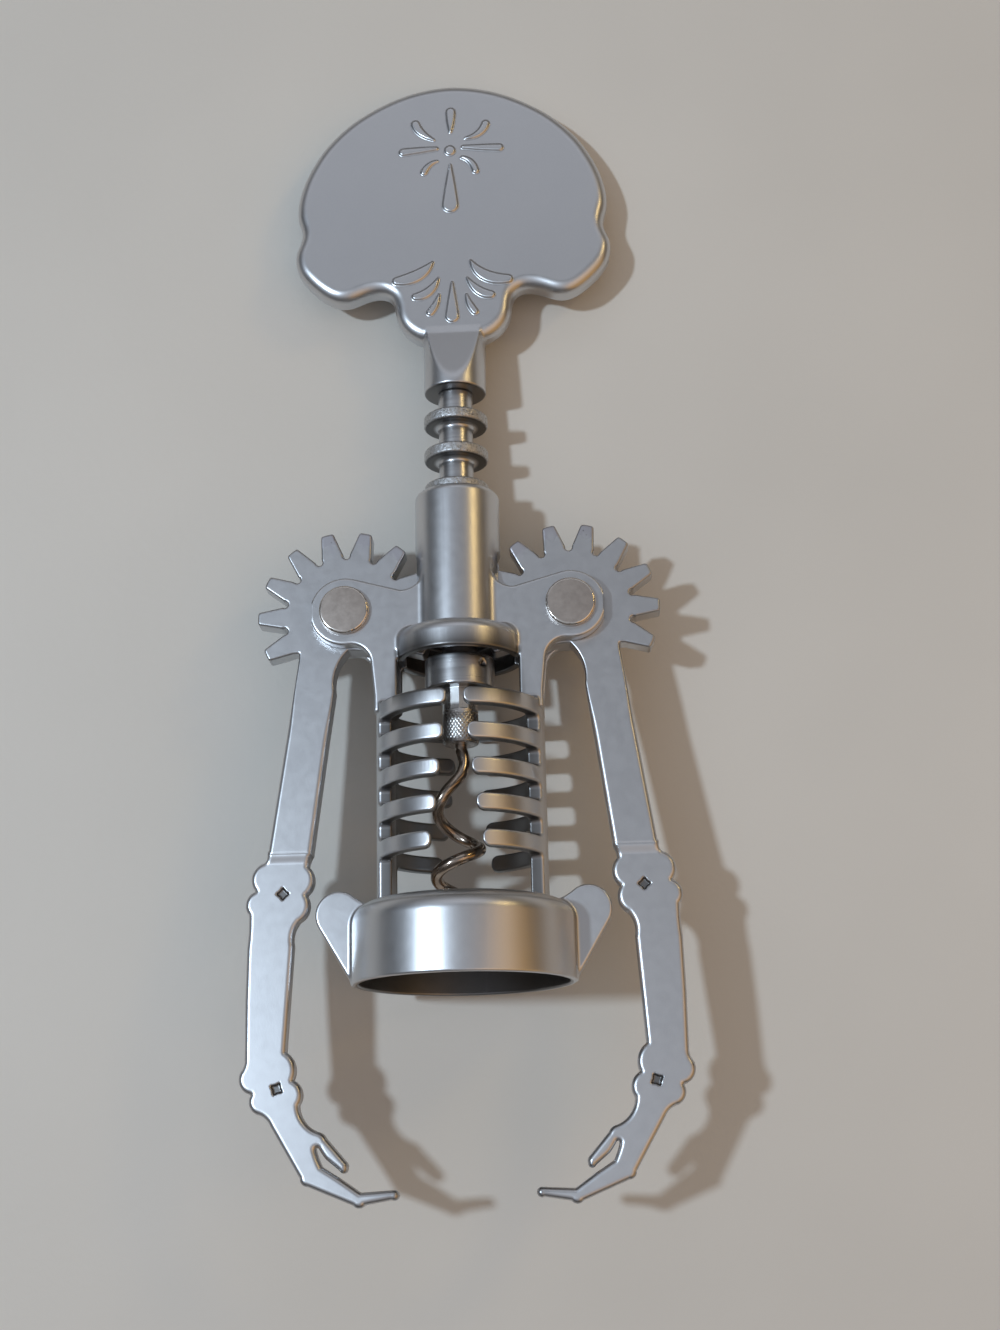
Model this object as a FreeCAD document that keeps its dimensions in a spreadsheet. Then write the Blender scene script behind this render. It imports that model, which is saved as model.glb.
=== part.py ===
import FreeCAD, Part
import math
import os
from FreeCAD import Vector, Placement, Rotation

# Winged corkscrew in the shape of a skeleton, lying on its back.
# Every piece is drawn in the same working frame: x across the levers,
# y along the spindle from the collar mouth (y = 0) towards the handle,
# z through the thickness with the spindle axis at z = 0. The placement then
# lowers the collar mouth end and lifts the axis so that the collar rests on z = 0.

doc = FreeCAD.newDocument("corkscrew")
sheet = doc.addObject("Spreadsheet::Sheet", "dims")
SIZES = [
    ("shaft_shift", -63.35),        # moves the overall middle of the length to the origin
    ("axis_height", 17.5),          # spindle axis above the table
    ("collar_outer", 17.5),
    ("collar_bore", 16.44),
    ("collar_height", 12.6),
    ("collar_roof", 1.4),
    ("shoulder_round", 3.2),
    ("cage_outer", 13.6),
    ("cage_inner", 11.5),
    ("cage_top", 44.4),
    ("rail_half", 4.2),             # half thickness of rails and cheek plates
    ("rib_height", 2.65),
    ("rib_pitch", 5.6),
    ("rib_first", 43.1),
    ("wing_thick", 2.6),
    ("plate_thick", 8.4),
    ("slot_width", 4.1),
    ("slot_sweep", 15.2),
    ("cup_outer", 10.5),
    ("cup_inner", 9.1),
    ("cup_low", 52.1),
    ("cup_top", 57.1),
    ("tube_outer", 7.06),
    ("tube_bore", 5.52),
    ("tube_top", 81.3),
    ("pivot_x", 18.44),
    ("pivot_y", 60.35),
    ("pivot_bore", 2.45),
    ("ear_round", 5.75),
    ("ring_outer", 5.42),
    ("ring_core", 2.9),
    ("ring_pitch", 6.2832),
    ("ring_thick", 1.95),
    ("groove_rest", 59.95),         # middle of the groove that the gear tooth rests in
    ("slug_low", 47.15),
    ("slug_top", 52.5),
    ("slug_round", 5.68),
    ("slug_bore", 2.95),
    ("rack_bore", 1.8),
    ("shaft_round", 1.75),
    ("ferrule_round", 2.9),
    ("ferrule_low", 38.2),
    ("wire_round", 0.95),
    ("worm_mean", 3.5),
    ("worm_pitch", 8.8),
    ("gear_tip", 14.65),
    ("gear_root", 9.95),
    ("gear_teeth", 14.0),
    ("gear_thick", 3.6),
    ("arm_thick", 2.8),
    ("lever_bore", 2.5),
    ("rivet_shank", 2.44),
    ("rivet_head", 4.1),
    ("rivet_rise", 1.2),
    ("rivet_tail", 3.6),
    ("rivet_tail_rise", 0.8),
    ("head_thick", 5.2),
    ("head_round", 1.9),
    ("relief_rise", 0.35),
    ("neck_outer", 5.3),
    ("neck_low", 99.81),
]
for row, (name, value) in enumerate(SIZES, start=1):
    sheet.set("A%d" % row, name)
    sheet.set("B%d" % row, str(value))
    sheet.setAlias("B%d" % row, name)
doc.recompute()
D = {name: float(sheet.get(name)) for name, _ in SIZES}


# ---------------------------------------------------------------- helpers
def new_body(label):
    body = doc.addObject("PartDesign::Body", label)
    body.Label = label
    body.AllowCompound = True
    body.setExpression("Placement.Base.y", "dims.shaft_shift")
    body.setExpression("Placement.Base.z", "dims.axis_height")
    return body


def origin_plane(body, role):
    return [f for f in body.Origin.OriginFeatures if f.Role == role][0]


def loop_edges(loop):
    """Edges of one closed loop. A loop is ("C", centre, radius), ("S", points)
    for a smooth closed curve, or a start point followed by ("L", end) and
    ("A", middle, end) steps that come back to the start."""
    if loop[0] == "C":
        return [Part.Circle(Vector(loop[1][0], loop[1][1], 0), Vector(0, 0, 1), loop[2])]
    if loop[0] == "S":
        curve = Part.BSplineCurve()
        curve.interpolate([Vector(x, y, 0) for x, y in loop[1]], PeriodicFlag=True)
        return [curve]
    edges = []
    here = Vector(loop[0][0], loop[0][1], 0)
    first = here
    for step in loop[1:]:
        end = Vector(step[-1][0], step[-1][1], 0)
        if (end - first).Length < 1e-6:
            end = first
        if step[0] == "L":
            edges.append(Part.LineSegment(here, end))
        else:
            middle = Vector(step[1][0], step[1][1], 0)
            edges.append(Part.Arc(here, middle, end))
        here = end
    if (here - first).Length > 1e-6:
        edges.append(Part.LineSegment(here, first))
    return edges


def new_sketch(body, name, loops, role="XY_Plane", lift=None):
    sketch = body.newObject("Sketcher::SketchObject", name)
    sketch.AttachmentSupport = [(origin_plane(body, role), "")]
    sketch.MapMode = "FlatFace"
    if lift:
        sketch.setExpression("AttachmentOffset.Base.z", lift)
    for loop in loops:
        sketch.addGeometry(loop_edges(loop), False)
    return sketch


def volume(body):
    doc.recompute()
    return body.Shape.Volume


def pad(body, sketch, length, name, symmetric=True, reverse=False):
    feature = body.newObject("PartDesign::Pad", name)
    feature.Profile = sketch
    feature.SideType = "Symmetric" if symmetric else "One side"
    feature.Reversed = reverse
    feature.setExpression("Length", length)
    return feature


def pocket(body, sketch, length, name, symmetric=True):
    """A cut; a one-sided cut is turned round if it takes nothing away."""
    before = volume(body)
    feature = body.newObject("PartDesign::Pocket", name)
    feature.Profile = sketch
    feature.SideType = "Symmetric" if symmetric else "One side"
    feature.setExpression("Length", length)
    if volume(body) > before - 1e-4:
        feature.Reversed = True
    if volume(body) > before - 1e-4:
        raise RuntimeError("cut %s removes nothing" % name)
    return feature


def revolve(body, sketch, name, cut=False):
    before = volume(body) if cut else 0.0
    feature = body.newObject("PartDesign::Groove" if cut else "PartDesign::Revolution", name)
    feature.Profile = sketch
    feature.ReferenceAxis = (sketch, ["V_Axis"])
    feature.Angle = 360.0
    if cut and volume(body) > before - 1e-4:
        raise RuntimeError("groove %s removes nothing" % name)
    return feature


def mirror_loop(half):
    """A loop from a half outline that starts and ends on x = 0 (x >= 0 side)."""
    start = half[0]
    steps = [s for s in half[1:]]
    points = [start] + [s[-1] for s in steps]
    back = []
    for index in range(len(steps) - 1, -1, -1):
        step = steps[index]
        target = (-points[index][0], points[index][1])
        if step[0] == "L":
            back.append(("L", target))
        else:
            back.append(("A", (-step[1][0], step[1][1]), target))
    return [start] + steps + back


def edges_where(shape, test):
    return ["Edge%d" % (i + 1) for i, edge in enumerate(shape.Edges) if test(edge)]


def fillet(body, base, names, radius, label):
    feature = body.newObject("PartDesign::Fillet", label)
    feature.Base = (base, names)
    feature.setExpression("Radius", radius) if isinstance(radius, str) else setattr(feature, "Radius", radius)
    doc.recompute()
    if "Invalid" in feature.State or "Error" in feature.State or feature.Shape.isNull() or not feature.Shape.isValid():
        body.removeObject(feature)
        doc.removeObject(feature.Name)
        body.Tip = base
        doc.recompute()
        print("fillet left out:", label)
        return None
    return feature


# ---------------------------------------------------------------- frame casting
RAIL = D["rail_half"]
frame = new_body("frame_casting")

# collar with its roof and the round cage that stands on it
CO, CB, CH, CR, SR = (D[k] for k in ("collar_outer", "collar_bore", "collar_height", "collar_roof", "shoulder_round"))
inner_round = 2.2
k = math.sqrt(0.5)
roof_low = CH - CR
collar_loop = [
    (CB, 0.25),
    ("A", (CB + 0.15, 0.05), (CB + 0.4, 0.0)),
    ("L", (CO - 0.35, 0.0)),
    ("A", (CO - 0.1, 0.1), (CO, 0.35)),
    ("L", (CO, CH - SR)),
    ("A", (CO - SR + SR * k, CH - SR + SR * k), (CO - SR, CH)),
    ("L", (D["cage_outer"], CH)),
    ("L", (D["cage_outer"], D["cage_top"])),
    ("L", (D["cage_inner"], D["cage_top"])),
    ("L", (D["cage_inner"], roof_low)),
    ("L", (CB - inner_round, roof_low)),
    ("A", (CB - inner_round + inner_round * k, roof_low - inner_round + inner_round * k), (CB, roof_low - inner_round)),
    ("L", (CB, 0.25)),
]
revolve(frame, new_sketch(frame, "collar_cage_profile", [collar_loop]), "collar_cage")

# cheek plates with the round ears that carry the levers
PX, PY, ER = D["pivot_x"], D["pivot_y"], D["ear_round"]
top_deg, low_deg = 103.0, 262.0
ear_top = (PX + ER * math.cos(math.radians(top_deg)), PY + ER * math.sin(math.radians(top_deg)))
ear_low = (PX + ER * math.cos(math.radians(low_deg)), PY + ER * math.sin(math.radians(low_deg)))
plate_half = [
    (0.0, 68.6),
    ("L", (5.6, 68.6)),
    ("A", (6.35, 65.1), (9.3, 63.75)),
    ("L", ear_top),
    ("A", (PX + ER * math.cos(math.radians(2.0)), PY + ER * math.sin(math.radians(2.0))), ear_low),
    ("A", (15.2, 53.75), (14.15, 51.4)),
    ("L", (D["cage_outer"], 46.0)),
    ("L", (D["cage_outer"], D["cage_top"] - 1.2)),
    ("L", (11.6, D["cage_top"] - 1.2)),
    ("L", (9.8, D["cage_top"] + 0.2)),
    ("L", (9.8, D["cup_low"] + 1.3)),
    ("L", (0.0, D["cup_low"] + 1.3)),
]
pad(frame, new_sketch(frame, "cheek_outline", [mirror_loop(plate_half)]), "dims.plate_thick", "cheek_plates")

# guide tube with the round cup below it
CU = D["cup_outer"]
tube_loop = [
    (0.0, D["cup_low"]),
    ("L", (CU - 0.25, D["cup_low"])),
    ("A", (CU - 0.07, D["cup_low"] + 0.07), (CU, D["cup_low"] + 0.25)),
    ("L", (CU, D["cup_top"] - 2.1)),
    ("A", (CU - 2.1 + 2.1 * k, D["cup_top"] - 2.1 + 2.1 * k), (CU - 2.1, D["cup_top"])),
    ("L", (D["tube_outer"], D["cup_top"])),
    ("L", (D["tube_outer"], D["tube_top"] - 1.3)),
    ("A", (D["tube_outer"] - 0.35, D["tube_top"] - 0.42), (D["tube_outer"] - 1.1, D["tube_top"])),
    ("L", (0.0, D["tube_top"])),
    ("L", (0.0, D["cup_low"])),
]
revolve(frame, new_sketch(frame, "tube_profile", [tube_loop]), "guide_tube")

# wings on the collar
def wing_loop(side):
    pts = [
        (16.8, 0.55),
        ("L", (17.45, 0.35)),
        ("L", (22.72, 9.1)),
        ("A", (23.35, 11.35), (22.35, 13.75)),
        ("A", (20.0, 14.95), (17.6, 14.35)),
        ("A", (16.2, 13.35), (14.2, 12.62)),
        ("L", (14.6, 11.95)),
        ("L", (16.1, 11.05)),
        ("L", (16.85, 9.0)),
        ("L", (16.8, 0.55)),
    ]
    out = [(side * pts[0][0], pts[0][1])]
    for step in pts[1:]:
        out.append((step[0],) + tuple((side * p[0], p[1]) for p in step[1:]))
    return out


pad(frame, new_sketch(frame, "wing_outline", [wing_loop(1), wing_loop(-1)]), "dims.wing_thick", "wings")

# bore of the guide tube and the hollow of the cup
bore_loop = [
    (0.0, D["cup_low"] - 1.0),
    ("L", (D["cup_inner"], D["cup_low"] - 1.0)),
    ("L", (D["cup_inner"], D["cup_top"] - 2.6)),
    ("A", (D["cup_inner"] - 0.25, D["cup_top"] - 2.0), (D["cup_inner"] - 0.9, D["cup_top"] - 1.75)),
    ("L", (D["tube_bore"], D["cup_top"] - 1.75)),
    ("L", (D["tube_bore"], D["tube_top"] - 0.3)),
    ("L", (D["tube_bore"] + 0.3, D["tube_top"])),
    ("L", (D["tube_bore"] + 0.3, D["tube_top"] + 1.0)),
    ("L", (0.0, D["tube_top"] + 1.0)),
    ("L", (0.0, D["cup_low"] - 1.0)),
]
revolve(frame, new_sketch(frame, "tube_bore_profile", [bore_loop]), "tube_bore", cut=True)

# slots that the gear sectors turn in, then the rivet holes
pocket(frame, new_sketch(frame, "gear_slot_outline", [("C", (PX, PY), D["slot_sweep"])]), "dims.slot_width", "gear_slot_right")
pocket(frame, new_sketch(frame, "gear_slot_outline_left", [("C", (-PX, PY), D["slot_sweep"])]), "dims.slot_width", "gear_slot_left")
pocket(frame, new_sketch(frame, "rivet_hole_outline", [("C", (PX, PY), D["pivot_bore"]), ("C", (-PX, PY), D["pivot_bore"])]), "dims.plate_thick * 2", "rivet_holes")

# the cage is cut away in front and behind, which leaves five pairs of ribs on the rails
half_rib = D["rib_height"] / 2
rib_y = [D["rib_first"] - i * D["rib_pitch"] for i in range(5)]
rib_gap = [1.3, 1.85, 2.45, 3.1, 3.95]
WIDE = 15.0
windows = []
low = CH + 0.02
for y in reversed(rib_y):
    windows.append([(-WIDE, low), ("L", (WIDE, low)), ("L", (WIDE, y - half_rib)), ("L", (-WIDE, y - half_rib)), ("L", (-WIDE, low))])
    low = y + half_rib
gaps = []
for y, g in zip(rib_y, rib_gap):
    # each rib ends in a rounded tip, so the gap between two tips is waisted
    r = half_rib
    up, dn = y + half_rib + 0.001, y - half_rib - 0.001
    flare = g + 0.75
    gaps.append([(-flare, dn), ("L", (flare, dn)), ("A", (g, y), (flare, up)), ("L", (-flare, up)), ("A", (-g, y), (-flare, dn))])
for side, tag in ((1, "front"), (-1, "back")):
    lift = "dims.rail_half" if side > 0 else "-dims.rail_half"
    for loops, word in ((windows, "window"), (gaps, "rib_gap")):
        sketch = new_sketch(frame, "%s_%s_outline" % (tag, word), loops, lift=lift)
        before = volume(frame)
        feature = frame.newObject("PartDesign::Pocket", "%s_%s" % (tag, word))
        feature.Profile = sketch
        feature.SideType = "One side"
        feature.Length = 12.0
        feature.Reversed = side > 0
        if volume(frame) > before - 1e-4:
            raise RuntimeError("cage cut missed")
doc.recompute()


# ---------------------------------------------------------------- levers
TEETH = int(round(D["gear_teeth"]))
STEP = 360.0 / TEETH


def polar(radius, degrees, offset=0.0):
    """Point at a radius in a direction from the pivot, moved sideways by offset."""
    a = math.radians(degrees)
    return (PX + radius * math.cos(a) - offset * math.sin(a), PY + radius * math.sin(a) + offset * math.cos(a))


def gear_arm_loop():
    """Gear sector and upper arm of the right lever, counter-clockwise."""
    tip, root = D["gear_tip"], D["gear_root"]
    first, count = -STEP, 10
    start = polar(root, first - STEP / 2)
    loop = [start]
    for index in range(count):
        a = first + index * STEP
        loop.append(("A", polar(root + 0.14, a, -1.98 - 0.07), polar(root + 0.55, a, -1.86)) if index == 0 else ("A", polar(root, a - STEP / 2), polar(root + 0.55, a, -1.86)))
        loop.append(("L", polar(tip - 0.45, a, -1.14)))
        loop.append(("A", polar(tip - 0.13, a, -0.98), polar(tip - 0.02, a, -0.66)))
        loop.append(("A", polar(tip, a), polar(tip - 0.02, a, 0.66)))
        loop.append(("A", polar(tip - 0.13, a, 0.98), polar(tip - 0.45, a, 1.14)))
        loop.append(("L", polar(root + 0.55, a, 1.86)))
    last = first + (count - 1) * STEP
    loop.append(("A", polar(root, last + STEP / 2), polar(root, last + STEP)))
    return loop, start


loop, start = gear_arm_loop()
loop += [
    ("A", (14.9, 53.9), (18.1, 54.35)),
    ("A", (19.65, 52.2), (20.35, 47.6)),
    ("L", (23.86, 20.6)),
    ("L", (30.98, 20.6)),
    ("L", (26.3, 52.6)),
    ("A", (26.2, 53.4), start),
]
upper_loop = loop

lower_loop = [
    (31.0, 21.6),
    ("L", (31.02, 20.7)),
    ("A", (31.3, 20.05), (32.0, 19.65)),
    ("A", (33.5, 17.55), (32.88, 15.33)),
    ("A", (34.36, 13.6), (33.85, 11.6)),
    ("A", (33.84, 9.3), (34.06, 6.4)),
    ("L", (34.2, -2.0)),
    ("L", (34.14, -10.6)),
    ("A", (34.25, -11.6), (34.55, -12.25)),
    ("A", (34.6, -15.0), (33.12, -15.98)),
    ("A", (33.2, -17.9), (31.75, -19.05)),
    ("A", (30.75, -19.7), (30.05, -20.7)),
    ("L", (25.45, -28.45)),
    ("A", (25.1, -29.35), (24.25, -29.72)),
    ("L", (17.3, -32.58)),
    ("A", (16.45, -33.0), (15.5, -32.55)),
    ("L", (11.5, -31.9)),
    ("A", (10.35, -31.35), (11.0, -30.42)),
    ("L", (16.2, -30.7)),
    ("L", (19.4, -28.5)),
    ("L", (22.05, -26.85)),
    ("A", (22.6, -25.6), (23.0, -24.4)),
    ("A", (22.85, -24.05), (22.5, -24.3)),
    ("A", (22.05, -25.0), (21.5, -25.75)),
    ("L", (19.35, -27.5)),
    ("A", (18.55, -27.85), (18.15, -27.2)),
    ("A", (18.1, -26.7), (18.45, -26.1)),
    ("L", (21.4, -22.75)),
    ("A", (22.0, -22.0), (22.8, -21.65)),
    ("A", (24.8, -20.1), (25.62, -17.7)),
    ("A", (25.3, -15.3), (26.52, -13.93)),
    ("A", (26.25, -11.9), (27.68, -9.7)),
    ("L", (27.6, -8.4)),
    ("L", (26.66, 6.6)),
    ("A", (26.55, 8.9), (25.75, 10.3)),
    ("A", (24.25, 12.4), (24.66, 14.5)),
    ("A", (23.5, 16.8), (24.4, 19.05)),
    ("A", (24.2, 20.0), (23.8, 20.9)),
    ("L", (23.75, 21.6)),
    ("L", (31.0, 21.6)),
]


def diamond(cx, cy, half, turn):
    pts = []
    for q in range(4):
        a = math.radians(turn + 90 * q)
        pts.append((cx + half * math.cos(a), cy + half * math.sin(a)))
    return [pts[0], ("L", pts[1]), ("L", pts[2]), ("L", pts[3]), ("L", pts[0])]


def mirrored(loop_in):
    if loop_in[0] == "C":
        return ("C", (-loop_in[1][0], loop_in[1][1]), loop_in[2])
    out = [(-loop_in[0][0], loop_in[0][1])]
    for step in loop_in[1:]:
        out.append((step[0],) + tuple((-p[0], p[1]) for p in step[1:]))
    return out


for side, label in ((1, "lever_right"), (-1, "lever_left")):
    flip = (lambda l: l) if side > 0 else mirrored
    lever = new_body(label)
    pad(lever, new_sketch(lever, label + "_gear_outline", [flip(upper_loop)]), "dims.gear_thick", label + "_gear")
    pad(lever, new_sketch(lever, label + "_arm_outline", [flip(lower_loop)]), "dims.arm_thick", label + "_arm")
    pocket(lever, new_sketch(lever, label + "_pivot_outline", [flip(("C", (PX, PY), D["lever_bore"]))]), "dims.gear_thick * 2", label + "_pivot_hole")
    pits = [flip(diamond(28.46, 14.74, 0.98, 0.0)), flip(diamond(29.05, -15.23, 0.98, 28.0))]
    for face, tag in ((1, "front"), (-1, "back")):
        lift = "dims.arm_thick / 2 - 0.5" if face > 0 else "0.5 - dims.arm_thick / 2"
        sketch = new_sketch(lever, "%s_%s_pit_outline" % (label, tag), pits, lift=lift)
        before = volume(lever)
        feature = lever.newObject("PartDesign::Pocket", "%s_%s_pits" % (label, tag))
        feature.Profile = sketch
        feature.SideType = "One side"
        feature.Length = 2.0
        feature.Reversed = face > 0
        if volume(lever) > before - 1e-4:
            raise RuntimeError("pits missed")


# ---------------------------------------------------------------- pivot rivets
for side, label in ((1, "pivot_rivet_right"), (-1, "pivot_rivet_left")):
    rivet = doc.addObject("Part::Feature", label)
    rivet.Label = label
    shank = Part.makeCylinder(D["rivet_shank"], 2 * RAIL, Vector(0, 0, -RAIL))
    head = Part.makeCylinder(D["rivet_head"], D["rivet_rise"], Vector(0, 0, RAIL))
    head = head.makeFillet(0.4, [e for e in head.Edges if e.Closed and e.BoundBox.ZMin > RAIL + D["rivet_rise"] - 1e-6])
    tail = Part.makeCylinder(D["rivet_tail"], D["rivet_tail_rise"], Vector(0, 0, -RAIL - D["rivet_tail_rise"]))
    tail = tail.makeFillet(0.35, [e for e in tail.Edges if e.Closed and e.BoundBox.ZMax < -RAIL - D["rivet_tail_rise"] + 1e-6])
    rivet.Shape = shank.fuse(head).fuse(tail).removeSplitter()
    rivet.Placement = Placement(Vector(side * PX, PY + D["shaft_shift"], D["axis_height"]), Rotation())


# ---------------------------------------------------------------- ringed rack
rack = new_body("ring_rack")
RO, RC, RP, RT = D["ring_outer"], D["ring_core"], D["ring_pitch"], D["ring_thick"]
rack_top = D["neck_low"] - 0.05
SR2, SL, ST = D["slug_round"], D["slug_low"], D["slug_top"]
profile = [(D["slug_bore"], SL), ("L", (SR2 - 0.35, SL)), ("A", (SR2 - 0.1, SL + 0.1), (SR2, SL + 0.35))]
soft = 0.3                                  # rounded edge of each ring
groove = D["groove_rest"] - RP              # first groove above the slug
while groove < rack_top - 1.5:
    low_y, up_y = groove - (RP - RT) / 2, groove + (RP - RT) / 2
    wide = RO
    if low_y < ST:
        low_y, wide = ST, SR2               # the slug is wider than the rings and reaches into the cup
    profile += [("L", (wide, low_y - soft)), ("A", (wide - soft * (1 - k), low_y - soft * (1 - k)), (wide - soft, low_y)), ("L", (RC + 0.5, low_y)), ("A", (RC + 0.5 * (1 - k), low_y + 0.5 * (1 - k)), (RC, low_y + 0.5))]
    if up_y < rack_top:
        profile += [("L", (RC, up_y - 0.5)), ("A", (RC + 0.5 * (1 - k), up_y - 0.5 * (1 - k)), (RC + 0.5, up_y)), ("L", (RO - soft, up_y)), ("A", (RO - soft * (1 - k), up_y + soft * (1 - k)), (RO, up_y + soft))]
    groove += RP
profile += [("L", (RC, rack_top)), ("L", (D["rack_bore"], rack_top)), ("L", (D["rack_bore"], 51.2)), ("L", (D["slug_bore"], 51.2)), ("L", (D["slug_bore"], D["slug_low"]))]
revolve(rack, new_sketch(rack, "rack_profile", [profile]), "rack_turning")
pin = new_sketch(rack, "pin_hole_outline", [("C", (2.75, 50.75), 0.42)], lift="dims.ring_core")
before = volume(rack)
pin_hole = rack.newObject("PartDesign::Pocket", "pin_hole")
pin_hole.Profile = pin
pin_hole.SideType = "One side"
pin_hole.Length = 6.0
pin_hole.Reversed = True
if volume(rack) > before - 1e-4:
    raise RuntimeError("pin hole missed")


# ---------------------------------------------------------------- drive shaft and worm ferrule
shaft = new_body("drive_shaft")
shaft_low, shaft_top = 47.9, 105.6
revolve(shaft, new_sketch(shaft, "shaft_profile", [[(0.0, shaft_low), ("L", (D["shaft_round"], shaft_low)), ("L", (D["shaft_round"], shaft_top - 0.4)), ("L", (D["shaft_round"] - 0.4, shaft_top)), ("L", (0.0, shaft_top)), ("L", (0.0, shaft_low))]]), "shaft_turning")

ferrule = new_body("worm_ferrule")
FR, FL = D["ferrule_round"], D["ferrule_low"]
ferrule_top = 51.0
ferrule_loop = [
    (D["wire_round"] + 0.01, FL),
    ("L", (FR - 0.35, FL)),
    ("A", (FR - 0.1, FL + 0.1), (FR, FL + 0.35)),
    ("L", (FR, ferrule_top)),
    ("L", (D["shaft_round"] + 0.01, ferrule_top)),
    ("L", (D["shaft_round"] + 0.01, shaft_low - 0.01)),
    ("L", (D["wire_round"] + 0.01, shaft_low - 0.01)),
    ("L", (D["wire_round"] + 0.01, FL)),
]
revolve(ferrule, new_sketch(ferrule, "ferrule_profile", [ferrule_loop]), "ferrule_turning")


# ---------------------------------------------------------------- worm
# the hand-bent first turn: centre of the wire from the ferrule down to the regular helix
WORM_BEND = [(0.0, 47.6, 0.0), (0.0, 37.7, 0.0), (0.28, 36.6, 0.0), (0.42, 35.3, 0.1), (0.0, 33.4, 0.5), (-1.85, 31.0, 1.25),
             (-3.35, 28.9, 0.95), (-3.85, 26.95, -0.8), (-2.64, 25.2, -2.75), (-0.3, 23.55, -3.5), (1.9, 22.25, -2.45), (2.8, 21.05, 0.0)]


def worm_points():
    points = [Vector(*p) for p in WORM_BEND]
    last = points[-1]
    step = 22.5
    turn = step
    while last.y - D["worm_pitch"] * turn / 360.0 > 11.2:
        a = math.radians(turn)
        points.append(Vector(last.x - D["worm_mean"] * (1 - math.cos(a)), last.y - D["worm_pitch"] * turn / 360.0, D["worm_mean"] * math.sin(a)))
        turn += step
    return points


def rounded_path(points, share=0.49):
    """Straight runs through the points with a tangent arc at each corner."""
    edges = []
    here = points[0]
    for i in range(1, len(points) - 1):
        p, a, b = points[i], points[i - 1], points[i + 1]
        u, w = (a - p), (b - p)
        t = share * min(u.Length, w.Length)
        u.normalize()
        w.normalize()
        p1, p2 = p + u * t, p + w * t
        half = math.acos(max(-1.0, min(1.0, u.dot(w)))) / 2
        if math.pi / 2 - half < 1e-4:
            continue
        bis = u + w
        bis.normalize()
        centre = p + bis * (t / math.cos(half))
        radius = t * math.tan(half)
        mid = centre - bis * radius
        if (p1 - here).Length > 1e-6:
            edges.append(Part.LineSegment(here, p1).toShape())
        edges.append(Part.Arc(p1, mid, p2).toShape())
        here = p2
    if (points[-1] - here).Length > 1e-6:
        edges.append(Part.LineSegment(here, points[-1]).toShape())
    return Part.Wire(edges)


worm = doc.addObject("Part::Feature", "worm")
worm.Label = "worm"
knots = worm_points()
curve = Part.BSplineCurve()
curve.interpolate(Points=knots[1:], InitialTangent=Vector(0, -1.5, 0), FinalTangent=knots[-1] - knots[-2])
points = [knots[0]] + [curve.value(curve.FirstParameter + (curve.LastParameter - curve.FirstParameter) * i / 84.0) for i in range(85)]
path = rounded_path(points)
start_profile = Part.Wire([Part.makeCircle(D["wire_round"], points[0], Vector(0, 1, 0))])
pipe = path.makePipeShell([start_profile], True, True)
end_dir = points[-1] - points[-2]
end_dir.normalize()
point_tip = Part.makeCone(D["wire_round"], 0.22, 1.7, points[-1], end_dir)
worm.Shape = pipe.fuse(point_tip)
worm.Placement = Placement(Vector(0, D["shaft_shift"], D["axis_height"]), Rotation())
print("worm volume", worm.Shape.Volume, "section times length", math.pi * D["wire_round"] ** 2 * path.Length, "solids", len(worm.Shape.Solids), worm.Shape.BoundBox)


# ---------------------------------------------------------------- skull handle
handle = new_body("skull_handle")
half = [
    (3.6, 159.4), (7.2, 158.6), (10.8, 157.25), (14.4, 155.35), (17.7, 153.1), (20.5, 150.5), (22.9, 147.6),
    (24.7, 144.6), (26.05, 141.6), (26.9, 138.7), (27.25, 136.2), (27.15, 134.2), (26.75, 132.6), (26.5, 131.2), (26.7, 129.8),
    (27.2, 128.4), (27.55, 126.9), (27.45, 125.3), (27.0, 123.8), (26.1, 122.3), (24.9, 120.9), (23.3, 119.4),
    (21.6, 118.2), (19.6, 117.5), (17.8, 117.6), (16.1, 118.2), (14.5, 118.75), (13.0, 118.95), (11.6, 118.65),
    (10.65, 117.8), (10.2, 116.5), (10.0, 115.0), (9.55, 113.3), (8.6, 111.75), (7.4, 110.6), (6.2, 109.85), (4.6, 109.35), (2.3, 109.2),
]
outline = [(0.0, 159.7)] + half + [(0.0, 109.2)] + [(-x, y) for x, y in reversed(half)]
head_pad = pad(handle, new_sketch(handle, "skull_outline", [("S", outline)]), "dims.head_thick", "skull_plate")
doc.recompute()
rim = edges_where(head_pad.Shape, lambda e: e.Length > 60.0 and abs(abs(e.BoundBox.ZMin) - D["head_thick"] / 2) < 1e-3 and e.BoundBox.ZLength < 1e-3)
fillet(handle, head_pad, rim, "dims.head_round", "skull_rim")

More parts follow.
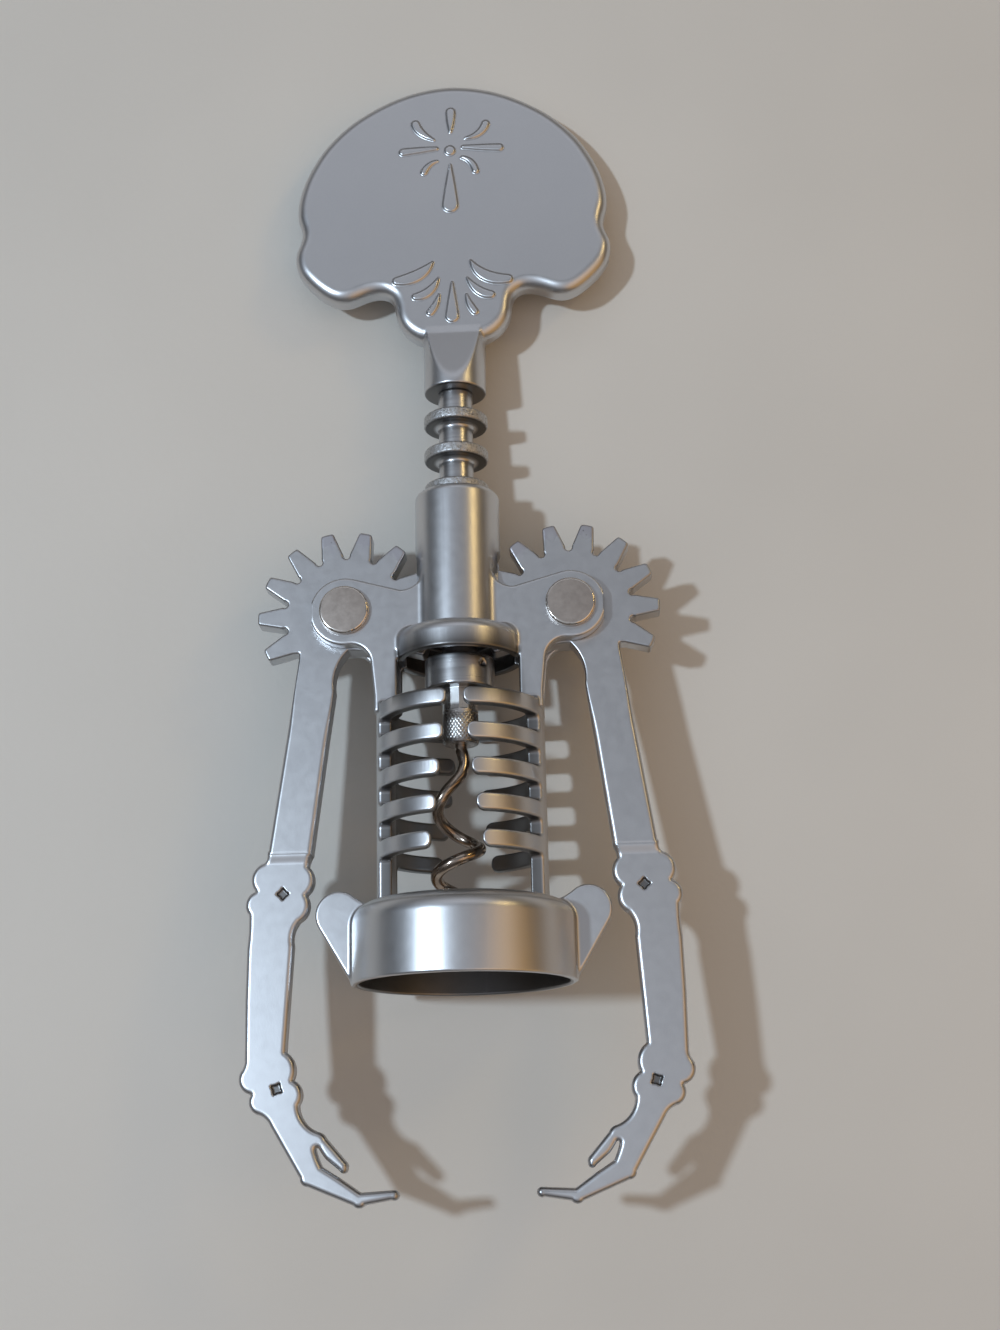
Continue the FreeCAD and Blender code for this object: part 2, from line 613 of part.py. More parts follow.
# neck: round below, with a sloping flat in front and behind where it meets the plate
NO, NL = D["neck_outer"], D["neck_low"]
neck_loop = [
    (0.0, NL),
    ("L", (NO - 0.4, NL)),
    ("A", (NO - 0.4 * (1 - k), NL + 0.4 * (1 - k)), (NO, NL + 0.4)),
    ("L", (NO, 110.6)),
    ("L", (0.0, 110.6)),
    ("L", (0.0, NL)),
]
revolve(handle, new_sketch(handle, "neck_profile", [neck_loop]), "neck")
for side, tag in ((1, "front"), (-1, "back")):
    flat = [(side * 5.45, 100.7), ("L", (side * 2.95, 109.6)), ("L", (side * 2.62, 112.0)), ("L", (side * 7.0, 112.0)), ("L", (side * 7.0, 100.7)), ("L", (side * 5.45, 100.7))]
    sketch = handle.newObject("Sketcher::SketchObject", "neck_flat_%s_outline" % tag)
    sketch.AttachmentSupport = [(origin_plane(handle, "YZ_Plane"), "")]
    sketch.MapMode = "FlatFace"
    # on this plane the sketch runs along y and z
    swapped = [(flat[0][1], flat[0][0])] + [(s[0], (s[1][1], s[1][0])) for s in flat[1:]]
    sketch.addGeometry(loop_edges(swapped), False)
    before = volume(handle)
    feature = handle.newObject("PartDesign::Pocket", "neck_flat_%s" % tag)
    feature.Profile = sketch
    feature.SideType = "Symmetric"
    feature.Length = 14.0
    if volume(handle) > before - 1e-4:
        raise RuntimeError("neck flat missed")
hole_loop = [(0.0, NL - 1.0), ("L", (D["shaft_round"] + 0.01, NL - 1.0)), ("L", (D["shaft_round"] + 0.01, 105.7)), ("L", (0.0, 105.7)), ("L", (0.0, NL - 1.0))]
revolve(handle, new_sketch(handle, "shaft_hole_profile", [hole_loop]), "shaft_hole", cut=True)


# raised petals and drops on the front of the skull plate
def drop(x1, y1, x2, y2, r1, r2, bend=0.0):
    """A drop from the narrow end (x1, y1, radius r1) to the round end (x2, y2, radius r2),
    bowed sideways by bend."""
    dx, dy = x2 - x1, y2 - y1
    length = math.hypot(dx, dy)
    ux, uy = dx / length, dy / length
    nx, ny = -uy, ux
    mx, my = (x1 + x2) / 2 + nx * bend, (y1 + y2) / 2 + ny * bend
    rm = (r1 + r2) / 2 * 1.05
    a1 = (x1 + nx * r1, y1 + ny * r1)
    a2 = (x2 + nx * r2, y2 + ny * r2)
    b1 = (x1 - nx * r1, y1 - ny * r1)
    b2 = (x2 - nx * r2, y2 - ny * r2)
    tip1 = (x1 - ux * r1, y1 - uy * r1)
    tip2 = (x2 + ux * r2, y2 + uy * r2)
    side_a = (mx + nx * rm, my + ny * rm)
    side_b = (mx - nx * rm, my - ny * rm)
    return [a1, ("A", side_a, a2), ("A", tip2, b2), ("A", side_b, b1), ("A", tip1, a1)]


petals = [("C", (0.0, 146.2), 0.75)]
petals.append(drop(0.0, 150.2, 0.0, 154.7, 0.35, 0.6))
petals.append(drop(0.0, 143.2, 0.0, 135.0, 0.35, 1.15))
for s in (1, -1):
    petals.append(drop(s * 2.6, 146.4, s * 8.6, 146.4, 0.35, 0.6))
    petals.append(drop(s * 2.4, 148.5, s * 6.6, 151.8, 0.35, 0.6, bend=-s * 0.9))
    petals.append(drop(s * 1.9, 144.6, s * 4.7, 142.1, 0.3, 0.55, bend=s * 0.35))
    petals.append(drop(s * 3.6, 119.9, s * 10.1, 124.3, 0.35, 0.7, bend=-s * 1.2))
    petals.append(drop(s * 2.5, 117.4, s * 7.0, 121.0, 0.3, 0.6, bend=-s * 0.8))
    petals.append(drop(s * 2.1, 114.4, s * 4.2, 117.8, 0.3, 0.5, bend=-s * 0.35))
petals.append(drop(0.0, 113.6, 0.0, 119.6, 0.35, 0.95))
relief = new_sketch(handle, "petal_outline", petals, lift="dims.head_thick / 2 - 0.2")
pad(handle, relief, "dims.relief_rise + 0.2", "petals", symmetric=False)
doc.recompute()


# ---------------------------------------------------------------- write
SUBPARTS = ["frame_casting", "lever_right", "lever_left", "pivot_rivet_right", "pivot_rivet_left", "ring_rack",
            "drive_shaft", "worm_ferrule", "worm", "skull_handle"]
doc.recompute()
for obj in doc.Objects:
    if "Invalid" in obj.State or "Error" in obj.State:
        raise RuntimeError("%s failed: %s" % (obj.Name, obj.State))
os.makedirs("parts", exist_ok=True)
total = None
for label in SUBPARTS:
    obj = doc.getObjectsByLabel(label)[0]
    shape = obj.Shape
    if shape.isNull() or not shape.isValid():
        raise RuntimeError("%s has no valid shape" % label)
    if len(shape.Solids) != 1:
        raise RuntimeError("%s has %d solids" % (label, len(shape.Solids)))
    shape.exportStep("parts/%s.step" % label)
    box = shape.BoundBox
    total = box if total is None else total.united(box)
    print("%-20s volume %9.1f  x %7.2f %7.2f  y %7.2f %7.2f  z %7.2f %7.2f" % (label, shape.Volume, box.XMin, box.XMax, box.YMin, box.YMax, box.ZMin, box.ZMax))
print("whole  x %.2f %.2f  y %.2f %.2f  z %.2f %.2f" % (total.XMin, total.XMax, total.YMin, total.YMax, total.ZMin, total.ZMax))
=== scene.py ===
import math

import bpy
import numpy as np
from mathutils import Matrix, Vector


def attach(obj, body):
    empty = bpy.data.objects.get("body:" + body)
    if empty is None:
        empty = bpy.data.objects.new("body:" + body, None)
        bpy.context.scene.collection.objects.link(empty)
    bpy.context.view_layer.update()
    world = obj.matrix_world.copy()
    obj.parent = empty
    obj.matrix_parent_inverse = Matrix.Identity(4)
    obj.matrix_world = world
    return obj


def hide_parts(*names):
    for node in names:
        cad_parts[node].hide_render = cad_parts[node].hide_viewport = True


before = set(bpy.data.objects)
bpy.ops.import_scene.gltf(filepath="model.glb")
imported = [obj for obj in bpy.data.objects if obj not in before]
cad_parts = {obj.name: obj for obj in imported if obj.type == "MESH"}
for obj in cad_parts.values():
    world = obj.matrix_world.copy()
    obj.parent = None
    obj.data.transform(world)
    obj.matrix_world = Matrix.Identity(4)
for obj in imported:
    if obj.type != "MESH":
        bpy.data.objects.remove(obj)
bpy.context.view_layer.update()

# Shapes are worked out in millimetres in the drawing's own frame: x across the levers,
# y along the spindle from the collar mouth, z through the thickness with the spindle
# at z = 0. to_row() turns that into the row frame in metres.
SHIFT_Y, AXIS_Z = -63.35, 17.5


def to_row(points):
    p = np.array(points, float).reshape(-1, 3)
    return (p + np.array([0.0, SHIFT_Y, AXIS_Z])) * 0.001


# ------------------------------------------------------------------ distance fields
def join_round(a, b, r):
    """Union of two distance fields with a fillet of radius r."""
    u, v = np.maximum(r - a, 0), np.maximum(r - b, 0)
    return np.maximum(r, np.minimum(a, b)) - np.sqrt(u * u + v * v)


def meet_round(a, b, r):
    """Intersection of two distance fields with a rounded edge of radius r."""
    u, v = np.maximum(r + a, 0), np.maximum(r + b, 0)
    return np.minimum(-r, np.maximum(a, b)) + np.sqrt(u * u + v * v)


def cut_round(a, b, r):
    return meet_round(a, -b, r)


def arc_points(a, m, b, step):
    """Points on the arc a, m, b, without a."""
    (ax, ay), (bx, by), (cx, cy) = a, m, b
    d = 2 * (ax * (by - cy) + bx * (cy - ay) + cx * (ay - by))
    if abs(d) < 1e-9:
        return [b]
    ux = ((ax * ax + ay * ay) * (by - cy) + (bx * bx + by * by) * (cy - ay) + (cx * cx + cy * cy) * (ay - by)) / d
    uy = ((ax * ax + ay * ay) * (cx - bx) + (bx * bx + by * by) * (ax - cx) + (cx * cx + cy * cy) * (bx - ax)) / d
    r = math.hypot(ax - ux, ay - uy)
    t0, tm, t1 = (math.atan2(p[1] - uy, p[0] - ux) for p in (a, m, b))
    turn = (t1 - t0) % (2 * math.pi)
    if (tm - t0) % (2 * math.pi) > turn:
        turn -= 2 * math.pi
    n = max(2, int(abs(turn) * r / step) + 1)
    return [(ux + r * math.cos(t0 + turn * i / n), uy + r * math.sin(t0 + turn * i / n)) for i in range(1, n + 1)]


def trace(loop, step=0.18):
    """A loop of a start point and ("L", end) and ("A", middle, end) steps as a polygon."""
    pts = [loop[0]]
    for s in loop[1:]:
        if s[0] == "L":
            pts.append(s[-1])
        else:
            pts += arc_points(pts[-1], s[1], s[2], step)
    out = []
    for p in pts:
        if not out or math.hypot(p[0] - out[-1][0], p[1] - out[-1][1]) > 1e-4:
            out.append(p)
    if math.hypot(out[0][0] - out[-1][0], out[0][1] - out[-1][1]) < 1e-4:
        out.pop()
    return out


def smooth_closed(points, per=6):
    """A closed cubic spline through the points."""
    p = np.array(points, float)
    n = len(p)
    h = np.linalg.norm(np.roll(p, -1, 0) - p, axis=1)
    a = np.zeros((n, n))
    rhs = np.zeros((n, 2))
    for i in range(n):
        k, l = (i - 1) % n, (i + 1) % n
        a[i, k] += h[k]
        a[i, i] += 2 * (h[k] + h[i])
        a[i, l] += h[i]
        rhs[i] = 6 * ((p[l] - p[i]) / h[i] - (p[i] - p[k]) / h[k])
    m = np.linalg.solve(a, rhs)
    out = []
    for i in range(n):
        l = (i + 1) % n
        for q in range(per):
            t = h[i] * q / per
            s = h[i] - t
            out.append(tuple(m[i] * s**3 / (6 * h[i]) + m[l] * t**3 / (6 * h[i]) + (p[i] / h[i] - m[i] * h[i] / 6) * s + (p[l] / h[i] - m[l] * h[i] / 6) * t))
    return out


def outline_distance(points, X, Y):
    """Signed distance to a polygon over the plane grid X, Y, negative inside."""
    best = np.full(X.shape, 1e9, np.float32)
    inside = np.zeros(X.shape, bool)
    n = len(points)
    for i in range(n):
        (x1, y1), (x2, y2) = points[i], points[(i + 1) % n]
        ex, ey = x2 - x1, y2 - y1
        wx, wy = X - np.float32(x1), Y - np.float32(y1)
        t = np.clip((wx * ex + wy * ey) / (ex * ex + ey * ey), 0, 1)
        bx, by = wx - ex * t, wy - ey * t
        np.minimum(best, bx * bx + by * by, out=best)
        if ey != 0:
            crosses = ((y1 <= Y) & (y2 > Y)) | ((y2 <= Y) & (y1 > Y))
            inside ^= crosses & (X < x1 + (Y - y1) * (ex / ey))
    best = np.sqrt(best)
    return np.where(inside, -best, best).astype(np.float32)


def sample(F, origin, h, P):
    """Value of the grid F at points P, by trilinear interpolation."""
    q = (P - origin) / h
    top = np.array(F.shape) - 2
    i = np.clip(np.floor(q).astype(np.int64), 0, top)
    t = np.clip(q - i, 0, 1)
    out = 0.0
    for a in (0, 1):
        wa = t[:, 0] if a else 1 - t[:, 0]
        for b in (0, 1):
            wb = t[:, 1] if b else 1 - t[:, 1]
            for c in (0, 1):
                wc = t[:, 2] if c else 1 - t[:, 2]
                out = out + F[i[:, 0] + a, i[:, 1] + b, i[:, 2] + c] * (wa * wb * wc)
    return out


def slopes(F, origin, h, P, reach=0.6):
    d = h * reach
    g = np.empty((len(P), 3))
    for k in range(3):
        e = np.zeros(3)
        e[k] = d
        g[:, k] = (sample(F, origin, h, P + e) - sample(F, origin, h, P - e)) / (2 * d)
    return g


def settle(F, origin, h, P, rounds=3):
    """Moves points onto the zero surface of F."""
    for _ in range(rounds):
        g = slopes(F, origin, h, P)
        f = sample(F, origin, h, P)
        gg = np.maximum((g * g).sum(1), 0.15)
        move = g * (f / gg)[:, None]
        length = np.linalg.norm(move, axis=1)
        move *= np.minimum(1, 0.5 * h / np.maximum(length, 1e-9))[:, None]
        P = P - move
    return P


def surface(F, origin, h):
    """Corner points and quads on the zero surface of the grid F."""
    nx, ny, nz = F.shape
    neg = F < 0
    total = np.zeros((nx - 1, ny - 1, nz - 1), np.uint8)
    for a in (0, 1):
        for b in (0, 1):
            for c in (0, 1):
                total += neg[a:nx - 1 + a, b:ny - 1 + b, c:nz - 1 + c]
    I, J, K = np.nonzero((total > 0) & (total < 8))
    del total
    corner = {}
    for a in (0, 1):
        for b in (0, 1):
            for c in (0, 1):
                corner[a, b, c] = F[I + a, J + b, K + c].astype(np.float64)
    place = np.zeros((len(I), 3))
    count = np.zeros(len(I))
    for a, b in [((0, 0, 0), (1, 0, 0)), ((0, 1, 0), (1, 1, 0)), ((0, 0, 1), (1, 0, 1)), ((0, 1, 1), (1, 1, 1)),
                 ((0, 0, 0), (0, 1, 0)), ((1, 0, 0), (1, 1, 0)), ((0, 0, 1), (0, 1, 1)), ((1, 0, 1), (1, 1, 1)),
                 ((0, 0, 0), (0, 0, 1)), ((1, 0, 0), (1, 0, 1)), ((0, 1, 0), (0, 1, 1)), ((1, 1, 0), (1, 1, 1))]:
        fa, fb = corner[a], corner[b]
        crosses = (fa < 0) != (fb < 0)
        t = np.where(crosses, fa / np.where(crosses, fa - fb, 1), 0)
        for k in range(3):
            place[:, k] += np.where(crosses, a[k] + t * (b[k] - a[k]), 0)
        count += crosses
    V = (np.stack([I, J, K], 1) + place / count[:, None]) * h + origin
    number = np.full((nx - 1, ny - 1, nz - 1), -1, np.int32)
    number[I, J, K] = np.arange(len(I), dtype=np.int32)
    quads = []
    for axis in range(3):
        low = [slice(None)] * 3
        high = [slice(None)] * 3
        low[axis], high[axis] = slice(0, -1), slice(1, None)
        changes = neg[tuple(low)] != neg[tuple(high)]
        E = np.nonzero(changes)
        u, v = [(1, 2), (2, 0), (0, 1)][axis]
        cell = [np.array(e) for e in E]
        ok = (cell[u] > 0) & (cell[v] > 0) & (cell[u] < F.shape[u] - 1) & (cell[v] < F.shape[v] - 1)
        cell = [c[ok] for c in cell]
        ring = []
        for du, dv in ((-1, -1), (0, -1), (0, 0), (-1, 0)):
            at = [c.copy() for c in cell]
            at[u] += du
            at[v] += dv
            ring.append(number[at[0], at[1], at[2]])
        ring = np.stack(ring, 1)
        turned = ~neg[cell[0], cell[1], cell[2]]
        ring[turned] = ring[turned][:, ::-1]
        quads.append(ring)
    return V, np.concatenate(quads)


def new_mesh(name, V, faces):
    """A mesh from points in metres and an array of equal faces."""
    me = bpy.data.meshes.new(name)
    n, k = faces.shape
    me.vertices.add(len(V))
    me.vertices.foreach_set("co", np.asarray(V, np.float32).ravel())
    me.loops.add(n * k)
    me.loops.foreach_set("vertex_index", np.asarray(faces, np.int32).ravel())
    me.polygons.add(n)
    me.polygons.foreach_set("loop_start", np.arange(0, n * k, k, dtype=np.int32))
    me.update(calc_edges=True)
    me.validate()
    return me


def add_object(name, me):
    ob = bpy.data.objects.new(name, me)
    bpy.context.scene.collection.objects.link(ob)
    return ob


def read_points(me):
    co = np.empty(len(me.vertices) * 3, np.float32)
    me.vertices.foreach_get("co", co)
    return co.reshape(-1, 3).astype(float)


def set_layer(me, name, values):
    layer = me.attributes.get(name) or me.attributes.new(name, "FLOAT", "POINT")
    layer.data.foreach_set("value", np.asarray(values, np.float32))


def step_up(x, a, b):
    t = np.clip((x - a) / (b - a), 0, 1)
    return t * t * (3 - 2 * t)


def cast(name, F, origin, h, triangles, layers=None):
    """A piece from a distance field: surface, thinning to the number of triangles, points
    put back on the surface, normals and edge layers from the field."""
    origin = np.array(origin, float)
    V, quads = surface(F, origin, h)
    V = settle(F, origin, h, V, 2)
    me = new_mesh(name, V, quads)
    ob = add_object(name, me)
    if len(quads) * 2 > triangles:
        thin = ob.modifiers.new("thin", "DECIMATE")
        thin.ratio = triangles / (len(quads) * 2.0)
        done = bpy.data.meshes.new_from_object(ob.evaluated_get(bpy.context.evaluated_depsgraph_get()))
        ob.modifiers.clear()
        ob.data = done
        bpy.data.meshes.remove(me)
        me = done
        me.name = name
    P = settle(F, origin, h, read_points(me), 2)
    g = slopes(F, origin, h, P, 0.5)
    normal = g / np.maximum(np.linalg.norm(g, axis=1), 1e-9)[:, None]
    d = 1.3 * h
    bend = -6 * sample(F, origin, h, P)
    for k in range(3):
        e = np.zeros(3)
        e[k] = d
        bend = bend + sample(F, origin, h, P + e) + sample(F, origin, h, P - e)
    bend = bend / (d * d)
    set_layer(me, "edge", step_up(bend, 0.7, 2.2))
    # hollow marks concave places; the casting material paints shade there
    set_layer(me, "hollow", step_up(-bend, 0.5, 2.0))
    for key, make in (layers or {}).items():
        set_layer(me, key, make(P))
    me.vertices.foreach_set("co", to_row(P).astype(np.float32).ravel())
    me.update()
    me.polygons.foreach_set("use_smooth", np.ones(len(me.polygons), bool))
    me.normals_split_custom_set_from_vertices(normal.astype(np.float32).tolist())
    me.update()
    print("piece", name, "points", len(me.vertices), "faces", len(me.polygons))
    return ob


# ------------------------------------------------------------------ materials
class Paint:
    """A Principled material built node by node."""

    def __init__(self, name, **fixed):
        self.mat = bpy.data.materials.new(name)
        self.mat.use_nodes = True
        self.tree = self.mat.node_tree
        self.tree.nodes.clear()
        self.out = self.tree.nodes.new("ShaderNodeOutputMaterial")
        self.bsdf = self.tree.nodes.new("ShaderNodeBsdfPrincipled")
        self.tree.links.new(self.bsdf.outputs[0], self.out.inputs[0])
        for key, value in fixed.items():
            self.bsdf.inputs[key.replace("_", " ")].default_value = value
        self.where = self.tree.nodes.new("ShaderNodeTexCoord")

    def link(self, a, b):
        self.tree.links.new(a, b)

    def noise(self, scale, detail=3.0, rough=0.55, stretch=None, distortion=0.0):
        n = self.tree.nodes.new("ShaderNodeTexNoise")
        n.inputs["Scale"].default_value = scale
        n.inputs["Detail"].default_value = detail
        n.inputs["Roughness"].default_value = rough
        n.inputs["Distortion"].default_value = distortion
        self.link(self.place(stretch), n.inputs["Vector"])
        return n.outputs["Fac"]

    def place(self, stretch=None):
        if stretch is None:
            return self.where.outputs["Object"]
        m = self.tree.nodes.new("ShaderNodeMapping")
        m.inputs["Scale"].default_value = stretch
        self.link(self.where.outputs["Object"], m.inputs["Vector"])
        return m.outputs[0]

    def cells(self, scale, feature="F1", stretch=None, jitter=1.0):
        n = self.tree.nodes.new("ShaderNodeTexVoronoi")
        n.feature = feature
        n.inputs["Scale"].default_value = scale
        n.inputs["Randomness"].default_value = jitter
        self.link(self.place(stretch), n.inputs["Vector"])
        return n.outputs["Distance"]

    def layer(self, name):
        n = self.tree.nodes.new("ShaderNodeAttribute")
        n.attribute_name = name
        return n.outputs["Fac"]

    def span(self, value, a, b, c, d):
        """value from a..b taken to c..d, clamped."""
        n = self.tree.nodes.new("ShaderNodeMapRange")
        for key, x in (("From Min", a), ("From Max", b), ("To Min", c), ("To Max", d)):
            n.inputs[key].default_value = x
        self.link(value, n.inputs["Value"])
        return n.outputs[0]

    def math(self, kind, a, b=None):
        n = self.tree.nodes.new("ShaderNodeMath")
        n.operation = kind
        for socket, x in zip(n.inputs, (a, b)):
            if x is None:
                continue
            if isinstance(x, (int, float)):
                socket.default_value = x
            else:
                self.link(x, socket)
        return n.outputs[0]

    def mix(self, share, a, b, kind="MIX"):
        n = self.tree.nodes.new("ShaderNodeMix")
        n.data_type = "RGBA"
        n.blend_type = kind
        for socket, x in ((n.inputs["Factor"], share), (n.inputs[6], a), (n.inputs[7], b)):
            if isinstance(x, (int, float)):
                socket.default_value = x
            elif isinstance(x, tuple):
                socket.default_value = (*x, 1.0)
            else:
                self.link(x, socket)
        return n.outputs[2]

    def bump(self, height, strength, distance, before=None):
        n = self.tree.nodes.new("ShaderNodeBump")
        n.inputs["Strength"].default_value = strength
        n.inputs["Distance"].default_value = distance
        self.link(height, n.inputs["Height"])
        if before is not None:
            self.link(before, n.inputs["Normal"])
        return n.outputs[0]

    def set(self, **links):
        for key, value in links.items():
            self.link(value, self.bsdf.inputs[key.replace("_", " ")])
        return self.mat


def satin_casting():
    """Blasted and satin-plated zinc: fine grain, bright rubbed edges and scuffed tooth tips, with painted
    shade in hollows, inside the collar, cage, slot and pits, under the neck and along the lever edges."""
    p = Paint("satin_casting_look", Metallic=1.0)
    cloud = p.noise(95.0, 3.0)
    grain = p.noise(5200.0, 2.0, 0.7)
    blotch = p.noise(700.0, 3.0)
    colour = p.mix(p.span(cloud, 0.35, 0.65, 0.0, 1.0), (0.612, 0.618, 0.636), (0.624, 0.629, 0.645))
    colour = p.mix(p.span(grain, 0.3, 0.7, 0.0, 0.14), colour, (0.74, 0.745, 0.76))
    # painted shade: concave hollows and junctions are coloured darker
    colour = p.mix(p.span(p.layer("hollow"), 0.0, 1.0, 0.0, 0.32), colour, (0.27, 0.265, 0.26))
    colour = p.mix(p.span(p.layer("edge"), 0.0, 1.0, 0.0, 0.12), colour, (0.72, 0.72, 0.73))
    # painted shade: the edges of the levers are coloured darker
    rim = p.math("MULTIPLY", p.layer("edge"), p.layer("arm"))
    colour = p.mix(p.math("MULTIPLY", rim, 0.6), colour, (0.30, 0.30, 0.31))
    # painted shade: the insides of the collar mouth, cage, slot and cheek gaps, the lever pits and the neck underside
    # are coloured nearly black
    inside = p.layer("inside")
    colour = p.mix(p.math("MULTIPLY", inside, 0.90), colour, (0.16, 0.155, 0.152))
    worn = p.layer("worn")
    speck = p.span(p.cells(1500.0), 0.10, 0.24, 1.0, 0.0)
    speck = p.math("MULTIPLY", speck, p.span(p.noise(900.0, 2.0), 0.50, 0.60, 0.0, 1.0))
    scuff = p.mix(speck, (0.43, 0.42, 0.45), (0.14, 0.13, 0.13))
    colour = p.mix(p.math("MULTIPLY", worn, 0.9), colour, scuff)
    rough = p.span(blotch, 0.3, 0.7, 0.33, 0.365)
    rough = p.math("ADD", rough, p.math("MULTIPLY", worn, 0.10))
    rough = p.math("SUBTRACT", rough, p.math("MULTIPLY", p.layer("edge"), 0.02))
    n = p.bump(grain, 0.16, 0.00003)
    return p.set(Base_Color=colour, Roughness=rough, Normal=n)


def rack_steel():
    """Turned steel with rough, pitted ring tops; the grooves and the pin hole carry painted shade, coloured nearly
    black.
    """
    p = Paint("rack_steel_look", Metallic=1.0)
    turned = p.noise(260.0, 4.0, 0.6, (0.25, 14.0, 0.25))
    grit = p.noise(2600.0, 4.0, 0.75)
    pit = p.span(p.cells(2100.0), 0.08, 0.30, 1.0, 0.0)
    patch = p.span(p.noise(620.0, 3.0), 0.42, 0.62, 0.0, 1.0)
    ring = p.layer("ring")
    dirt = p.math("MULTIPLY", p.math("MULTIPLY", pit, patch), ring)
    colour = p.mix(p.span(turned, 0.35, 0.65, 0.0, 1.0), (0.54, 0.545, 0.56), (0.60, 0.60, 0.61))
    colour = p.mix(p.math("MULTIPLY", p.span(grit, 0.45, 0.70, 0.0, 0.8), ring), colour, (0.26, 0.25, 0.21))
    colour = p.mix(dirt, colour, (0.06, 0.058, 0.05))
    # painted shade: the groove faces are coloured nearly black
    colour = p.mix(p.math("MULTIPLY", p.layer("groove"), 0.9), colour, (0.085, 0.085, 0.085))
    # painted shade: the pin hole is coloured black
    colour = p.mix(p.layer("pin"), colour, (0.02, 0.02, 0.02))
    rough = p.math("ADD", p.span(turned, 0.3, 0.7, 0.27, 0.36), p.math("MULTIPLY", ring, p.span(grit, 0.3, 0.7, 0.0, 0.22)))
    n = p.bump(turned, 0.06, 0.00006)
    gritty = p.math("MULTIPLY", p.math("ADD", grit, p.math("MULTIPLY", pit, -0.7)), ring)
    n = p.bump(gritty, 0.55, 0.00016, n)
    return p.set(Base_Color=colour, Roughness=rough, Normal=n)


def rivet_steel():
    """Warm nickel rivet: finely sanded face and polished rim."""
    p = Paint("rivet_steel_look", Metallic=1.0)
    mottle = p.noise(900.0, 5.0, 0.65)
    cloud = p.noise(260.0, 3.0)
    colour = p.mix(p.span(mottle, 0.35, 0.68, 0.0, 1.0), (0.46, 0.405, 0.365), (0.51, 0.452, 0.41))
    colour = p.mix(p.span(cloud, 0.38, 0.66, 0.0, 0.18), colour, (0.46, 0.40, 0.36))
    colour = p.mix(p.span(p.layer("edge"), 0.0, 1.0, 0.0, 0.6), colour, (0.84, 0.80, 0.75))
    rough = p.math("SUBTRACT", p.span(mottle, 0.3, 0.7, 0.36, 0.42), p.math("MULTIPLY", p.layer("edge"), 0.22))
    n = p.bump(mottle, 0.05, 0.00004)
    return p.set(Base_Color=colour, Roughness=rough, Normal=n)


def worm_nickel():
    """Polished dark nickel wire."""
    p = Paint("worm_nickel_look", Metallic=1.0)
    cloud = p.noise(480.0, 4.0, 0.6)
    streak = p.noise(900.0, 3.0, 0.6, (1.0, 0.25, 1.0))
    colour = p.mix(p.span(cloud, 0.35, 0.65, 0.0, 1.0), (0.36, 0.29, 0.235), (0.50, 0.43, 0.37))
    colour = p.mix(p.math("MULTIPLY", p.layer("knurl"), 0.6), colour, (0.52, 0.49, 0.45))
    rough = p.span(streak, 0.3, 0.7, 0.13, 0.24)
    n = p.bump(streak, 0.12, 0.00005)
    return p.set(Base_Color=colour, Roughness=rough, Normal=n)


def floor_paint():
    """Pale painted board with the slight ripple of a rolled coat."""
    p = Paint("floor_look", Roughness=0.55)
    ripple = p.noise(620.0, 3.0, 0.5)
    broad = p.noise(14.0, 3.0, 0.5)
    colour = p.mix(p.span(broad, 0.35, 0.65, 0.0, 1.0), (0.655, 0.622, 0.568), (0.690, 0.655, 0.598))
    n = p.bump(ripple, 0.16, 0.00025)
    return p.set(Base_Color=colour, Normal=n)


def sleeve_steel():
    """Bright nickel sleeve: drawn lengthwise, with its crossed knurl band coloured darker."""
    p = Paint("sleeve_steel_look", Metallic=1.0)
    streak = p.noise(1500.0, 3.0, 0.6, (1.0, 0.12, 1.0))
    cloud = p.noise(420.0, 3.0)
    colour = p.mix(p.span(cloud, 0.35, 0.65, 0.0, 1.0), (0.64, 0.635, 0.63), (0.72, 0.715, 0.71))
    colour = p.mix(p.math("MULTIPLY", p.layer("knurl"), 0.45), colour, (0.34, 0.32, 0.30))
    rough = p.span(streak, 0.3, 0.7, 0.25, 0.32)
    n = p.bump(streak, 0.08, 0.00004)
    return p.set(Base_Color=colour, Roughness=rough, Normal=n)


M_CAST, M_RACK, M_RIVET, M_WORM, M_FLOOR = satin_casting(), rack_steel(), rivet_steel(), worm_nickel(), floor_paint()
M_SLEEVE = sleeve_steel()

slot_look = {"satin_casting": M_CAST, "rack_steel": M_RACK, "rivet_steel": M_RIVET, "worm_nickel": M_WORM}
node_look = {"frame_casting": M_CAST, "lever_right": M_CAST, "lever_left": M_CAST, "skull_handle": M_CAST,
             "pivot_rivet_right": M_RIVET, "pivot_rivet_left": M_RIVET, "ring_rack": M_RACK, "drive_shaft": M_RACK,
             "worm_ferrule": M_SLEEVE, "worm": M_WORM}
for node, look in node_look.items():
    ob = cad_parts[node]
    ob.data.materials.clear()
    ob.data.materials.append(look)


def put(ob, body, node, look):
    ob.data.materials.clear()
    ob.data.materials.append(look)
    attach(ob, body)
    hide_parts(node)
    return ob


# ------------------------------------------------------------------ frame casting
def mirrored_half(half):
    """A closed outline from a half outline whose ends lie on x = 0."""
    pts = trace(half)
    return pts + [(-x, y) for x, y in reversed(pts) if x > 1e-6]


PX, PY, EAR = 18.44, 60.35, 5.75


def around(r, degrees, offset=0.0):
    a = math.radians(degrees)
    return (PX + r * math.cos(a) - offset * math.sin(a), PY + r * math.sin(a) + offset * math.cos(a))


